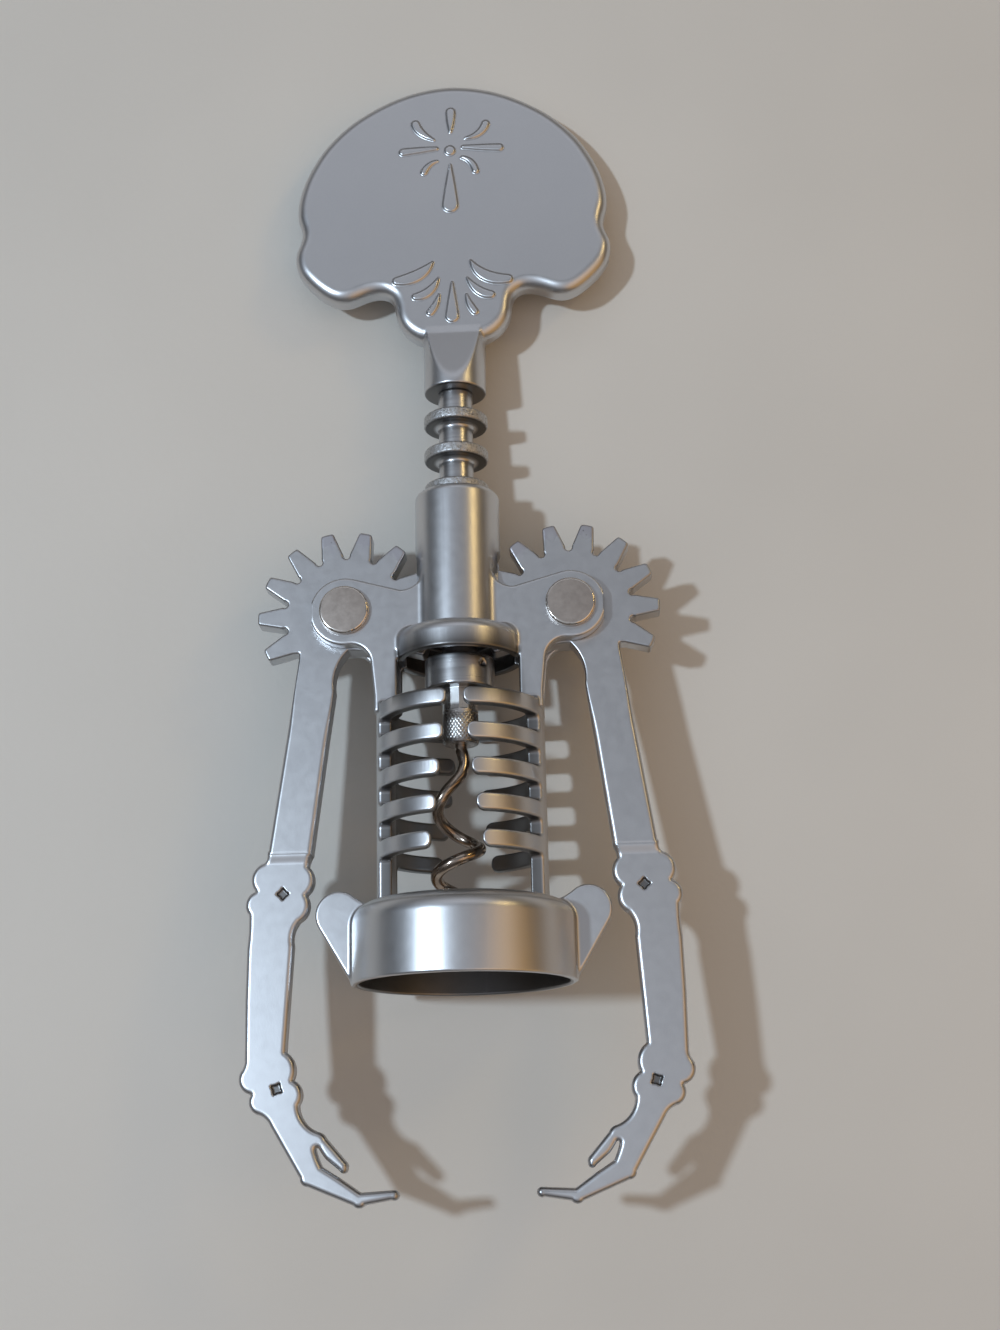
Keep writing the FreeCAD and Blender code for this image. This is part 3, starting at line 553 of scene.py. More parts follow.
def build_frame():
    h = 0.21
    nx, nz = int(23.9 / h) + 1, int(17.9 / h) + 1
    xs = ((np.arange(nx) + 0.5) * h).astype(np.float32)
    zs = ((np.arange(nz) + 0.5) * h).astype(np.float32)
    y0 = -0.75
    ys = (y0 + np.arange(int(82.6 / h)) * h).astype(np.float32)
    X, Y, Z = xs[:, None, None], ys[None, :, None], zs[None, None, :]
    X2, Y2 = np.meshgrid(xs, ys, indexing="ij")
    R = np.sqrt(X * X + Z * Z)

    collar = meet_round(meet_round(R - 17.5, Y - 12.6, 3.2), -Y, 0.32)
    collar = cut_round(collar, R - 11.5, 0.3)
    wing = trace([(16.6, 0.9), ("L", (17.5, 0.35)), ("L", (22.72, 9.1)), ("A", (23.33, 11.35), (22.35, 13.75)),
                  ("A", (20.0, 14.93), (17.6, 14.35)), ("A", (16.2, 13.35), (14.2, 12.5)), ("L", (14.6, 11.9)),
                  ("L", (16.0, 11.0)), ("L", (16.7, 9.0)), ("L", (16.6, 0.9))])
    wings = meet_round(outline_distance(wing, X2, Y2)[:, :, None], Z - 1.3, 0.4)

    # five pairs of ribs and the two rails, drawn on the front and laid on the round shell
    shell = np.abs(R - 12.55) - 1.05
    ribs = np.full(X2.shape, 1e3, np.float32)
    for y, g in zip((43.1, 37.5, 31.9, 26.3, 20.7), (1.3, 1.85, 2.45, 3.1, 3.95)):
        ribs = np.minimum(ribs, meet_round(g - X2, np.abs(Y2 - y) - 1.325, 1.12))
    rail = np.maximum(Z - 4.2, Y - 46.5)
    cage = meet_round(shell, join_round(ribs[:, :, None], rail, 0.9), 0.36)
    cage = np.maximum(cage, 10.8 - Y)

    low = join_round(collar, cage, 0.55)
    low = join_round(low, wings, 0.7)

    half = [(0.0, 68.6), ("L", (5.6, 68.6)), ("A", (6.35, 65.1), (9.3, 63.75)), ("L", around(EAR, 103.0)),
            ("A", around(EAR, 2.0), around(EAR, 262.0)), ("A", (15.2, 53.75), (14.15, 51.4)), ("L", (13.6, 46.0)),
            ("L", (13.6, 43.2)), ("L", (11.6, 43.2)), ("L", (9.8, 44.6)), ("L", (9.8, 53.4)), ("L", (0.0, 53.4))]
    plate = meet_round(outline_distance(mirrored_half(half), X2, Y2)[:, :, None], Z - 4.2, 0.45)
    tube = meet_round(R - 7.06, Y - 81.3, 1.2)
    tube = np.maximum(tube, 55.5 - Y)
    cup = meet_round(meet_round(R - 10.5, Y - 57.1, 2.1), 52.1 - Y, 0.35)
    top = join_round(plate, join_round(tube, cup, 0.45), 0.65)
    body = np.minimum(low, top)

    body = cut_round(body, meet_round(R - 16.44, Y - 11.2, 2.2), 0.25)
    body = np.maximum(body, -np.maximum(R - 11.5, Y - 43.0))
    hollow = np.minimum(meet_round(R - 9.1, Y - 55.35, 1.0), R - 5.52)
    body = cut_round(body, np.maximum(hollow, 49.0 - Y), 0.25)
    pivot = np.sqrt((X - PX) ** 2 + (Y - PY) ** 2)
    body = cut_round(body, np.maximum(pivot - 15.2, Z - 2.05), 0.14)
    body = cut_round(body, pivot - 2.46, 0.12)
    body = body.astype(np.float32)
    F = np.concatenate([body[:, :, ::-1], body], 2)
    F = np.concatenate([F[::-1], F], 0)

    # painted shade: marks the inside of the collar mouth, the cage, the slot and the gaps behind the cheek plates,
    # which the casting material colours nearly black
    def inside(P):
        r = np.hypot(P[:, 0], P[:, 2])
        y = P[:, 1]
        mouth = step_up(-r, -17.05, -16.75) * step_up(-y, -11.6, -11.2)
        cage = step_up(-r, -13.45, -13.0) * step_up(y, 12.4, 12.8) * step_up(-y, -46.0, -44.0)
        slot = step_up(-r, -9.7, -9.2) * step_up(y, 51.8, 52.5) * step_up(-y, -57.0, -55.6)
        cheek = step_up(-np.abs(P[:, 0]), -10.35, -9.95) * step_up(y, 43.4, 44.2) * step_up(-y, -53.6, -52.9)
        return np.maximum(np.maximum(mouth, cage), np.maximum(slot, cheek))

    return cast("casting_frame", F, (-(nx - 0.5) * h, y0, -(nz - 0.5) * h), h, 190000, {"inside": inside})


put(build_frame(), "frame", "frame_casting", M_CAST)


# ------------------------------------------------------------------ levers
GEAR_TIP, GEAR_ROOT, TOOTH_STEP = 14.65, 9.95, 360.0 / 14


def lever_outline():
    first, count = -TOOTH_STEP, 10
    start = around(GEAR_ROOT, first - TOOTH_STEP / 2)
    loop = [start]
    for i in range(count):
        a = first + i * TOOTH_STEP
        if i == 0:
            loop.append(("A", around(GEAR_ROOT + 0.14, a, -2.05), around(GEAR_ROOT + 0.55, a, -1.86)))
        else:
            loop.append(("A", around(GEAR_ROOT, a - TOOTH_STEP / 2), around(GEAR_ROOT + 0.55, a, -1.86)))
        loop.append(("L", around(GEAR_TIP - 0.45, a, -1.14)))
        loop.append(("A", around(GEAR_TIP - 0.13, a, -0.98), around(GEAR_TIP - 0.02, a, -0.66)))
        loop.append(("A", around(GEAR_TIP, a), around(GEAR_TIP - 0.02, a, 0.66)))
        loop.append(("A", around(GEAR_TIP - 0.13, a, 0.98), around(GEAR_TIP - 0.45, a, 1.14)))
        loop.append(("L", around(GEAR_ROOT + 0.55, a, 1.86)))
    last = first + (count - 1) * TOOTH_STEP
    loop.append(("A", around(GEAR_ROOT, last + TOOTH_STEP / 2), around(GEAR_ROOT, last + TOOTH_STEP)))
    loop += [("A", (14.9, 53.9), (18.1, 54.35)), ("A", (19.65, 52.2), (20.35, 47.6)), ("L", (23.86, 20.6)),
             ("L", (30.98, 20.6)), ("L", (26.3, 52.6)), ("A", (26.2, 53.4), start)]
    return loop


ARM = [(31.0, 21.6), ("L", (31.02, 20.7)), ("A", (31.3, 20.05), (32.0, 19.65)), ("A", (33.5, 17.55), (32.88, 15.33)),
       ("A", (34.36, 13.6), (33.85, 11.6)), ("A", (33.84, 9.3), (34.06, 6.4)), ("L", (34.2, -2.0)), ("L", (34.14, -10.6)),
       ("A", (34.25, -11.6), (34.55, -12.25)), ("A", (34.6, -15.0), (33.12, -15.98)), ("A", (33.2, -17.9), (31.75, -19.05)),
       ("A", (30.75, -19.7), (30.05, -20.7)), ("L", (25.45, -28.45)), ("A", (25.1, -29.35), (24.25, -29.72)),
       ("L", (17.3, -32.58)), ("A", (16.45, -33.0), (15.5, -32.55)), ("L", (11.5, -31.9)), ("A", (10.35, -31.35), (11.0, -30.42)),
       ("L", (16.2, -30.7)), ("L", (19.4, -28.5)), ("L", (22.05, -26.85)), ("A", (22.6, -25.6), (23.0, -24.4)),
       ("A", (22.85, -24.05), (22.5, -24.3)), ("A", (22.05, -25.0), (21.5, -25.75)), ("L", (19.35, -27.5)),
       ("A", (18.55, -27.85), (18.15, -27.2)), ("A", (18.1, -26.7), (18.45, -26.1)), ("L", (21.4, -22.75)),
       ("A", (22.0, -22.0), (22.8, -21.65)), ("A", (24.8, -20.1), (25.62, -17.7)), ("A", (25.3, -15.3), (26.52, -13.93)),
       ("A", (26.25, -11.9), (27.68, -9.7)), ("L", (27.6, -8.4)), ("L", (26.66, 6.6)), ("A", (26.55, 8.9), (25.75, 10.3)),
       ("A", (24.25, 12.4), (24.66, 14.5)), ("A", (23.5, 16.8), (24.4, 19.05)), ("A", (24.2, 20.0), (23.8, 20.9)),
       ("L", (23.75, 21.6)), ("L", (31.0, 21.6))]
PITS = [(28.46, 14.74, 0.0), (29.05, -15.23, 28.0)]


def build_lever(side):
    h = 0.19
    x0, y0, z0 = 2.9, -33.6, -2.375
    xs = (x0 + np.arange(int((35.4 - x0) / h)) * h).astype(np.float32)
    ys = (y0 + np.arange(int((75.7 - y0) / h)) * h).astype(np.float32)
    zs = (z0 + np.arange(26) * h).astype(np.float32)
    X2, Y2 = np.meshgrid(xs, ys, indexing="ij")
    upper = outline_distance(trace(lever_outline(), 0.2), X2, Y2)
    lower = outline_distance(trace(ARM, 0.2), X2, Y2)
    flat = join_round(upper, lower, 0.15)
    # where the two outlines overlap they share edges, so no fillet is wanted there
    flat = np.where((Y2 > 19.8) & (Y2 < 22.4), np.minimum(upper, lower), flat)
    pivot = np.hypot(X2 - PX, Y2 - PY)
    arm = step_up(pivot, 13.5, 22.0)
    half = 1.4 + 0.4 * step_up(Y2, 19.35, 21.05)
    edge = 0.34 + 0.46 * arm
    pillow = 0.0
    Z = np.abs(zs)[None, None, :]
    F = meet_round(flat[:, :, None], Z - half[:, :, None], edge[:, :, None] + pillow)
    F = cut_round(F, (pivot - 2.5)[:, :, None], 0.12)
    for cx, cy, turn in PITS:
        a = math.radians(turn)
        u = (X2 - cx) * math.cos(a) + (Y2 - cy) * math.sin(a)
        v = -(X2 - cx) * math.sin(a) + (Y2 - cy) * math.cos(a)
        # four-sided pit with slightly hollow sides, narrowing to a flat floor
        u, v = np.abs(u), np.abs(v)
        d = (u + v - 1.14) * 0.7071 + 0.09 * np.exp(-((u - v) / 0.5) ** 2)
        slope = d[:, :, None] + 0.35 * (half[:, :, None] - Z)
        F = cut_round(F, np.maximum(slope, (half[:, :, None] - 0.52) - Z), 0.06)
    F = F.astype(np.float32)

    def worn(P):
        dx, dy = np.abs(P[:, 0]) - PX, P[:, 1] - PY
        r, ang = np.hypot(dx, dy), np.degrees(np.arctan2(dy, dx))
        face = step_up(np.abs(P[:, 2]), 1.2, 1.7)
        return step_up(r, 12.35, 12.75) * step_up(ang, 62, 68) * step_up(-ang, -142, -136) * face

    # painted shade: marks the pit bottoms, which the casting material colours nearly black
    def pit(P):
        near = np.minimum.reduce([np.hypot(np.abs(P[:, 0]) - cx, P[:, 1] - cy) for cx, cy, _ in PITS])
        deep = 1.4 + 0.4 * step_up(P[:, 1], 19.35, 21.05) - np.abs(P[:, 2])
        return step_up(-near, -1.40, -1.25) * step_up(deep, 0.12, 0.32)

    name = "lever_cast_right" if side > 0 else "lever_cast_left"
    origin = [x0, y0, z0]
    if side < 0:
        F = F[::-1]
        origin[0] = -(x0 + (len(xs) - 1) * h)
    return cast(name, np.ascontiguousarray(F), origin, h, 90000, {"worn": worn, "inside": pit, "arm": lambda P: np.ones(len(P))})


put(build_lever(1), "right_arm", "lever_right", M_CAST)
put(build_lever(-1), "left_arm", "lever_left", M_CAST)


# ------------------------------------------------------------------ rivets
def build_rivet(side):
    h = 0.125
    n = int(4.45 / h)
    cx = side * PX
    xs = (cx + (np.arange(2 * n + 1) - n) * h).astype(np.float32)
    ys = (PY + (np.arange(2 * n + 1) - n) * h).astype(np.float32)
    z0 = -5.35
    zs = (z0 + np.arange(int(11.1 / h)) * h).astype(np.float32)
    X, Y, Z = xs[:, None, None], ys[None, :, None], zs[None, None, :]
    R = np.sqrt((X - cx) ** 2 + (Y - PY) ** 2)
    rise = 5.36 - 0.07 * (R / 4.1) ** 2
    head = meet_round(meet_round(R - 4.08, Z - rise, 0.42), 4.2 - Z, 0.08)
    rng = np.random.default_rng(7 if side > 0 else 11)
    for _ in range(16):
        a, s = rng.uniform(0, 2 * math.pi), rng.uniform(0.35, 0.8)
        deep = rng.uniform(0.03, 0.10)
        r = 4.08 - 0.12 + (s - deep) * 0.75
        bx, by, bz = cx + r * math.cos(a), PY + r * math.sin(a), 5.25 + (s - deep) * 0.6
        ball = np.sqrt((X - bx) ** 2 + (Y - by) ** 2 + (Z - bz) ** 2) - s
        head = cut_round(head, ball, 0.05)
    tail = meet_round(meet_round(R - 3.6, -5.0 - Z, 0.35), Z + 4.2, 0.05)
    F = np.minimum(np.minimum(head, tail), np.maximum(R - 2.42, np.abs(Z) - 4.3)).astype(np.float32)
    return cast("rivet_right" if side > 0 else "rivet_left", F, (xs[0], ys[0], z0), h, 26000)


put(build_rivet(1), "frame", "pivot_rivet_right", M_RIVET)
put(build_rivet(-1), "frame", "pivot_rivet_left", M_RIVET)


# ------------------------------------------------------------------ head and neck
HEAD_HALF = [
    (3.6, 159.4), (7.2, 158.6), (10.8, 157.25), (14.4, 155.35), (17.7, 153.1), (20.5, 150.5), (22.9, 147.6),
    (24.7, 144.6), (26.05, 141.6), (26.9, 138.7), (27.25, 136.2), (27.15, 134.2), (26.75, 132.6), (26.5, 131.2), (26.7, 129.8),
    (27.2, 128.4), (27.55, 126.9), (27.45, 125.3), (27.0, 123.8), (26.1, 122.3), (24.9, 120.9), (23.3, 119.4),
    (21.6, 118.2), (19.6, 117.5), (17.8, 117.6), (16.1, 118.2), (14.5, 118.75), (13.0, 118.95), (11.6, 118.65),
    (10.65, 117.8), (10.2, 116.5), (10.0, 115.0), (9.55, 113.3), (8.6, 111.75), (7.4, 110.6), (6.2, 109.85), (4.6, 109.35), (2.3, 109.2)]
# raised drops: narrow end, middle, round end, and the half width at each
DROPS = [
    ((0.05, 149.57), (0.12, 151.71), (0.15, 153.68), 0.16, 0.61, 0.77),
    ((-2.91, 148.14), (-5.06, 149.66), (-6.15, 151.50), 0.16, 0.61, 0.69),
    ((2.69, 148.21), (5.03, 149.11), (6.34, 150.99), 0.16, 0.53, 0.65),
    ((-2.44, 146.40), (-5.47, 146.19), (-8.41, 145.93), 0.29, 0.53, 0.65),
    ((2.25, 146.47), (5.51, 146.24), (8.68, 146.07), 0.29, 0.53, 0.65),
    ((-2.35, 143.85), (-3.70, 143.18), (-4.73, 141.76), 0.16, 0.37, 0.53),
    ((2.02, 144.40), (3.55, 143.48), (4.41, 141.64), 0.24, 0.45, 0.53),
    ((-0.04, 142.98), (-0.10, 138.99), (-0.15, 135.02), 0.16, 0.81, 1.34),
    ((-0.08, 145.91), (-0.08, 145.90), (-0.08, 145.89), 0.90, 0.90, 0.90),
    ((-3.35, 124.02), (-6.01, 121.57), (-9.66, 120.60), 0.12, 1.02, 0.69),
    ((-2.43, 120.86), (-4.09, 118.38), (-6.45, 117.44), 0.12, 0.73, 0.57),
    ((-2.31, 117.76), (-2.96, 115.82), (-3.93, 114.33), 0.12, 0.49, 0.57),
    ((-0.05, 119.99), (-0.09, 116.77), (-0.14, 113.49), 0.12, 0.65, 1.10),
    ((3.21, 124.05), (5.63, 121.08), (9.67, 120.17), 0.12, 0.98, 0.73),
    ((2.51, 120.71), (4.46, 118.22), (6.67, 117.32), 0.12, 0.73, 0.61),
    ((2.38, 117.53), (2.91, 115.75), (3.83, 114.17), 0.12, 0.49, 0.53)]


def build_head():
    h = 0.19
    nx, nz = int(27.9 / h) + 1, int(5.6 / h) + 1
    xs = ((np.arange(2 * nx) - nx + 0.5) * h).astype(np.float32)
    zs = ((np.arange(2 * nz) - nz + 0.5) * h).astype(np.float32)
    y0 = 99.3
    ys = (y0 + np.arange(int((160.2 - y0) / h) + 1) * h).astype(np.float32)
    X, Y, Z = xs[:, None, None], ys[None, :, None], zs[None, None, :]
    X2, Y2 = np.meshgrid(xs, ys, indexing="ij")
    points = smooth_closed([(0.0, 159.7)] + HEAD_HALF + [(0.0, 109.2)] + [(-x, y) for x, y in reversed(HEAD_HALF)], 5)
    flat = outline_distance(points, X2, Y2) + 0.02
    plate = meet_round(flat[:, :, None], np.abs(Z) - 2.6, 2.0)
    R = np.sqrt(X * X + Z * Z)
    neck = meet_round(meet_round(R - 5.3, 99.81 - Y, 0.42), Y - 111.6, 0.3)
    slope = (Y - 100.7) * 0.2704 + (np.abs(Z) - 5.45) * 0.9628
    neck = meet_round(neck, slope, 0.22)
    F = join_round(plate, neck, 0.35)
    drops = np.full(X2.shape, 1e3, np.float32)
    for p0, p1, p2, r0, r1, r2 in DROPS:
        near = 1e3
        for i in range(33):
            t = i / 32.0
            a, b, c = (1 - t) ** 2, 2 * t * (1 - t), t * t
            # the middle point is on the curve
            mx, my = 2 * p1[0] - (p0[0] + p2[0]) / 2, 2 * p1[1] - (p0[1] + p2[1]) / 2
            x, y = a * p0[0] + b * mx + c * p2[0], a * p0[1] + b * my + c * p2[1]
            mr = 2 * r1 - (r0 + r2) / 2
            r = max(0.12, a * r0 + b * mr + c * r2)
            near = np.minimum(near, np.hypot(X2 - x, Y2 - y) - r)
        drops = np.minimum(drops, near)
    raised = meet_round(drops[:, :, None], Z - 2.92, 0.30)
    raised = np.maximum(raised, 1.2 - Z)
    F = join_round(F, raised, 0.22)
    F = cut_round(F, np.maximum(R - 1.76, Y - 105.7), 0.1)

    # painted shade: marks the underside of the neck, which the casting material colours nearly black
    def inside(P):
        return step_up(-P[:, 1], -100.05, -99.9)

    return cast("head_plate", F.astype(np.float32), (xs[0], y0, zs[0]), h, 150000, {"inside": inside})


put(build_head(), "handle", "skull_handle", M_CAST)


# ------------------------------------------------------------------ turned and wound pieces
def turned(name, profile, body, node, look, slot, segments=128, layer=None, shape=None, flat_above=None):
    """A closed profile of (radius, y) turned round the spindle. shape(angle, r, y) may
    change the radius."""
    prof = np.array(profile, float)
    n, m = len(prof), segments
    ang = np.arange(m) * 2 * math.pi / m
    r = np.repeat(prof[:, 0][:, None], m, 1)
    y = np.repeat(prof[:, 1][:, None], m, 1)
    A = np.repeat(ang[None, :], n, 0)
    if shape:
        r = shape(A, r, y)
    V = np.stack([r * np.sin(A), y, r * np.cos(A)], 2).reshape(-1, 3)
    i, j = np.meshgrid(np.arange(n), np.arange(m), indexing="ij")
    a, b = i * m + j, i * m + (j + 1) % m
    c, d = ((i + 1) % n) * m + (j + 1) % m, ((i + 1) % n) * m + j
    quads = np.stack([a, b, c, d], 2).reshape(-1, 4)
    area = 0.5 * sum(prof[k][0] * prof[(k + 1) % n][1] - prof[(k + 1) % n][0] * prof[k][1] for k in range(n))
    if area > 0:
        quads = quads[:, ::-1]
    me = new_mesh(name, to_row(V), quads)
    smooth = np.ones(len(me.polygons), bool)
    if flat_above is not None:
        face_r = r.ravel()[quads].min(1)
        smooth = ~((y.ravel()[quads].min(1) > flat_above) & (face_r > 2.2)) if len(quads) == len(smooth) else smooth
    me.polygons.foreach_set("use_smooth", smooth)
    if layer:
        for key, make in layer.items():
            set_layer(me, key, make(A.ravel(), r.ravel(), y.ravel()))
    ob = add_object(name, me)
    if flat_above is None:
        hold = ob.modifiers.new("normals", "WEIGHTED_NORMAL")
        hold.keep_sharp = True
        hold.weight = 60
    return put(ob, body, node, look)


def dense(points, step=0.25):
    """Adds points along straight runs of a closed profile."""
    out = []
    n = len(points)
    for i in range(n):
        a, b = points[i], points[(i + 1) % n]
        k = max(1, int(math.hypot(b[0] - a[0], b[1] - a[1]) / step))
        out += [(a[0] + (b[0] - a[0]) * q / k, a[1] + (b[1] - a[1]) * q / k) for q in range(k)]
    return out


RING, CORE, PITCH, THICK = 5.42, 2.9, 6.2832, 1.95
SLUG, SLUG_LOW, SLUG_TOP = 5.68, 47.15, 52.5
RACK_TOP = 99.76
K = math.sqrt(0.5)


def rack_profile():
    p = [(2.95, SLUG_LOW), ("L", (SLUG - 0.35, SLUG_LOW)), ("A", (SLUG - 0.1, SLUG_LOW + 0.1), (SLUG, SLUG_LOW + 0.35))]
    soft, inner = 0.45, 0.65
    g = 59.95 - PITCH
    while g < RACK_TOP - 1.5:
        lo, up = g - (PITCH - THICK) / 2, g + (PITCH - THICK) / 2
        wide = RING
        if lo < SLUG_TOP:
            lo, wide = SLUG_TOP, SLUG
        p += [("L", (wide, lo - soft)), ("A", (wide - soft * (1 - K), lo - soft * (1 - K)), (wide - soft, lo)),
              ("L", (CORE + inner, lo)), ("A", (CORE + inner * (1 - K), lo + inner * (1 - K)), (CORE, lo + inner))]
        if up < RACK_TOP:
            p += [("L", (CORE, up - inner)), ("A", (CORE + inner * (1 - K), up - inner * (1 - K)), (CORE + inner, up)),
                  ("L", (RING - soft, up)), ("A", (RING - soft * (1 - K), up + soft * (1 - K)), (RING, up + soft))]
        g += PITCH
    p += [("L", (CORE, RACK_TOP)), ("L", (1.81, RACK_TOP)), ("L", (1.81, 51.2)), ("L", (2.95, 51.2)), ("L", (2.95, SLUG_LOW))]
    return dense(trace(p, 0.12), 0.3)


def rack_shape(A, r, y):
    """Small dents and burrs on the ring tops and the pin hole in the slug."""
    wave = np.zeros_like(A)
    rng = np.random.default_rng(3)
    for k in range(26):
        wave += np.sin(A * rng.integers(5, 43) + y * rng.uniform(-6, 6) + rng.uniform(0, 6.28)) / 26 ** 0.5
    top = np.clip((r - 4.7) / 0.5, 0, 1) * np.clip((y - 53.5) / 1.0, 0, 1)
    hole = np.hypot(r * np.sin(A) - 4.0, y - 50.75)
    hole = np.where((r > 5.5) & (np.cos(A) > 0), np.clip((0.50 - hole) / 0.15, 0, 1), 0.0)
    return r - top * 0.035 * np.clip(wave + 0.3, 0, 3) - 0.7 * hole


def painted_groove_shade(A, r, y):
    """Mask of painted shade: 1 on the side faces of the rings and beside the core, 0 on the ring tops and the slug."""
    side = np.clip((r - 3.35) / 0.4, 0, 1) * np.clip((5.3 - r) / 0.25, 0, 1)
    return np.where((y > SLUG_TOP - 0.05) | (y < SLUG_LOW + 0.05), side, 0.0)


def painted_pin_hole_shade(A, r, y):
    """Mask of painted shade: 1 on the small pin hole at the right of the slug."""
    d = np.hypot(r * np.sin(A) - 4.0, y - 50.75)
    return np.where((r > 4.2) & (np.cos(A) > 0), np.clip((0.52 - d) / 0.12, 0, 1), 0.0)


turned("rack_rings", rack_profile(), "rack", "ring_rack", M_RACK, "rack_steel", 168,
       {"ring": lambda A, r, y: np.clip((r - 4.6) / 0.5, 0, 1) * np.clip((y - 53.0) / 1.0, 0, 1),
        "groove": painted_groove_shade, "pin": painted_pin_hole_shade}, rack_shape)


def ferrule_profile():
    p = [(0.97, 38.2), ("L", (2.5, 38.2)), ("A", (2.78, 38.32), (2.9, 38.6)), ("L", (2.9, 43.1)), ("L", (2.8, 43.25)),
         ("L", (2.8, 43.4)), ("L", (2.9, 43.55)), ("L", (2.9, 51.0)), ("L", (1.76, 51.0)), ("L", (1.76, 47.89)), ("L", (0.97, 47.89)), ("L", (0.97, 38.2))]
    return dense(trace(p, 0.1), 0.12)


def ferrule_shape(A, r, y):
    """Crossed knurl on the lower half and flats pressed into the upper half."""
    out = r > 2.2
    lower = out & (y > 38.7) & (y < 43.0)
    pitch = 28
    one = np.abs(((A * pitch / (2 * math.pi) + y * 1.15) % 1) - 0.5) * 2
    two = np.abs(((A * pitch / (2 * math.pi) - y * 1.15) % 1) - 0.5) * 2
    knurl = np.clip(np.maximum(one, two) - 0.62, 0, 1) * 0.26
    facet = math.pi / 6
    flat = 2.9 * math.cos(facet / 2) / np.cos(A % facet - facet / 2)
    upper = out & (y > 43.7)
    r = np.where(lower, r - knurl, r)
    return np.where(upper, np.minimum(r, flat), r)


turned("worm_sleeve", ferrule_profile(), "handle", "worm_ferrule", M_SLEEVE, "worm_nickel", 208,
       {"knurl": lambda A, r, y: ((r > 2.2) & (y < 43.3)).astype(float)}, ferrule_shape, 43.6)


WORM_BEND = [(0.0, 47.6, 0.0), (0.0, 37.7, 0.0), (0.28, 36.6, 0.0), (0.42, 35.3, 0.1), (0.0, 33.4, 0.5), (-1.85, 31.0, 1.25),
             (-3.35, 28.9, 0.95), (-3.85, 26.95, -0.8), (-2.64, 25.2, -2.75), (-0.3, 23.55, -3.5), (1.9, 22.25, -2.45), (2.8, 21.05, 0.0)]


def worm_path():
    """The hand-bent first turn, then the regular helix, as closely spaced points."""
    knots = [np.array(k) for k in WORM_BEND[1:]]
    last, turn = knots[-1], 22.5
    while last[1] - 8.8 * turn / 360.0 > 11.2:
        a = math.radians(turn)
        knots.append(np.array([last[0] - 3.5 * (1 - math.cos(a)), last[1] - 8.8 * turn / 360.0, 3.5 * math.sin(a)]))
        turn += 22.5
    p = np.array(knots)
    n = len(p)
    gap = np.linalg.norm(np.diff(p, axis=0), axis=1)
    first = np.array([0.0, -1.0, 0.0])
    final = (p[-1] - p[-2]) / gap[-1]
    m = np.zeros((n, n))
    rhs = np.zeros((n, 3))
    m[0, 0], m[0, 1], rhs[0] = 2 * gap[0], gap[0], 6 * ((p[1] - p[0]) / gap[0] - first)
    m[-1, -1], m[-1, -2], rhs[-1] = 2 * gap[-1], gap[-1], 6 * (final - (p[-1] - p[-2]) / gap[-1])
    for i in range(1, n - 1):
        m[i, i - 1], m[i, i], m[i, i + 1] = gap[i - 1], 2 * (gap[i - 1] + gap[i]), gap[i]
        rhs[i] = 6 * ((p[i + 1] - p[i]) / gap[i] - (p[i] - p[i - 1]) / gap[i - 1])
    bend = np.linalg.solve(m, rhs)
    out = [np.array([0.0, y, 0.0]) for y in np.linspace(47.5, 38.0, 12)]
    for i in range(n - 1):
        for q in range(10):
            t = gap[i] * q / 10.0
            u = gap[i] - t
            out.append(bend[i] * u**3 / (6 * gap[i]) + bend[i + 1] * t**3 / (6 * gap[i])
                       + (p[i] / gap[i] - bend[i] * gap[i] / 6) * u + (p[i + 1] / gap[i] - bend[i + 1] * gap[i] / 6) * t)
    out += [p[-1], p[-1] + final * 0.8, p[-1] + final * 1.5]
    return np.array(out)


def build_worm():
    path = worm_path()
    gaps = np.linalg.norm(np.diff(path, axis=0), axis=1)
    along = np.concatenate([[0], np.cumsum(gaps)])
    total = along[-1]
    tangent = np.gradient(path, axis=0)
    tangent /= np.linalg.norm(tangent, axis=1)[:, None]
    side = np.cross(tangent[0], [0, 0, 1.0])
    side /= np.linalg.norm(side)
    m, V = 28, []
    for i, (c, t) in enumerate(zip(path, tangent)):
        side = side - t * (side @ t)
        side /= np.linalg.norm(side)
        other = np.cross(t, side)
        left = total - along[i]
        r = 0.95 * min(1.0, 0.16 + 0.84 * (min(left, 3.4) / 3.4) ** 0.72)
        a = np.arange(m) * 2 * math.pi / m
        V.append(c + r * (np.cos(a)[:, None] * side + np.sin(a)[:, None] * other))
    V = np.concatenate(V)
    n = len(path)
    i, j = np.meshgrid(np.arange(n - 1), np.arange(m), indexing="ij")
    quads = np.stack([i * m + j, i * m + (j + 1) % m, (i + 1) * m + (j + 1) % m, (i + 1) * m + j], 2).reshape(-1, 4)
    me = bpy.data.meshes.new("worm_wire")
    faces = [tuple(q) for q in quads.tolist()] + [tuple(reversed(range(m)))] + [tuple(range((n - 1) * m, n * m))]
    me.from_pydata([tuple(v) for v in to_row(V)], [], faces)
    me.validate()
    me.update()
    me.polygons.foreach_set("use_smooth", np.array([True] * len(quads) + [False, False]))
    ob = add_object("worm_wire", me)
    return put(ob, "handle", "worm", M_WORM)


build_worm()

# ------------------------------------------------------------------ floor, camera, lights
SLOPE = 0.1005
floor_me = bpy.data.meshes.new("floor_sheet")
n = 48
side = np.linspace(-1.6, 1.6, n)
FX, FY = np.meshgrid(side, side, indexing="ij")
# the piece lies on the back of its collar and on the top edge of its head
FZ = (-17.5 + (FY * 1000.0 + 63.35 - 10.0) * SLOPE + AXIS_Z - 0.05) * 0.001
i, j = np.meshgrid(np.arange(n - 1), np.arange(n - 1), indexing="ij")
floor_faces = np.stack([i * n + j, (i + 1) * n + j, (i + 1) * n + j + 1, i * n + j + 1], 2).reshape(-1, 4)
floor_me = new_mesh("floor_sheet", np.stack([FX, FY, FZ], 2).reshape(-1, 3), floor_faces)
floor_me.materials.append(M_FLOOR)
floor = add_object("floor_sheet", floor_me)

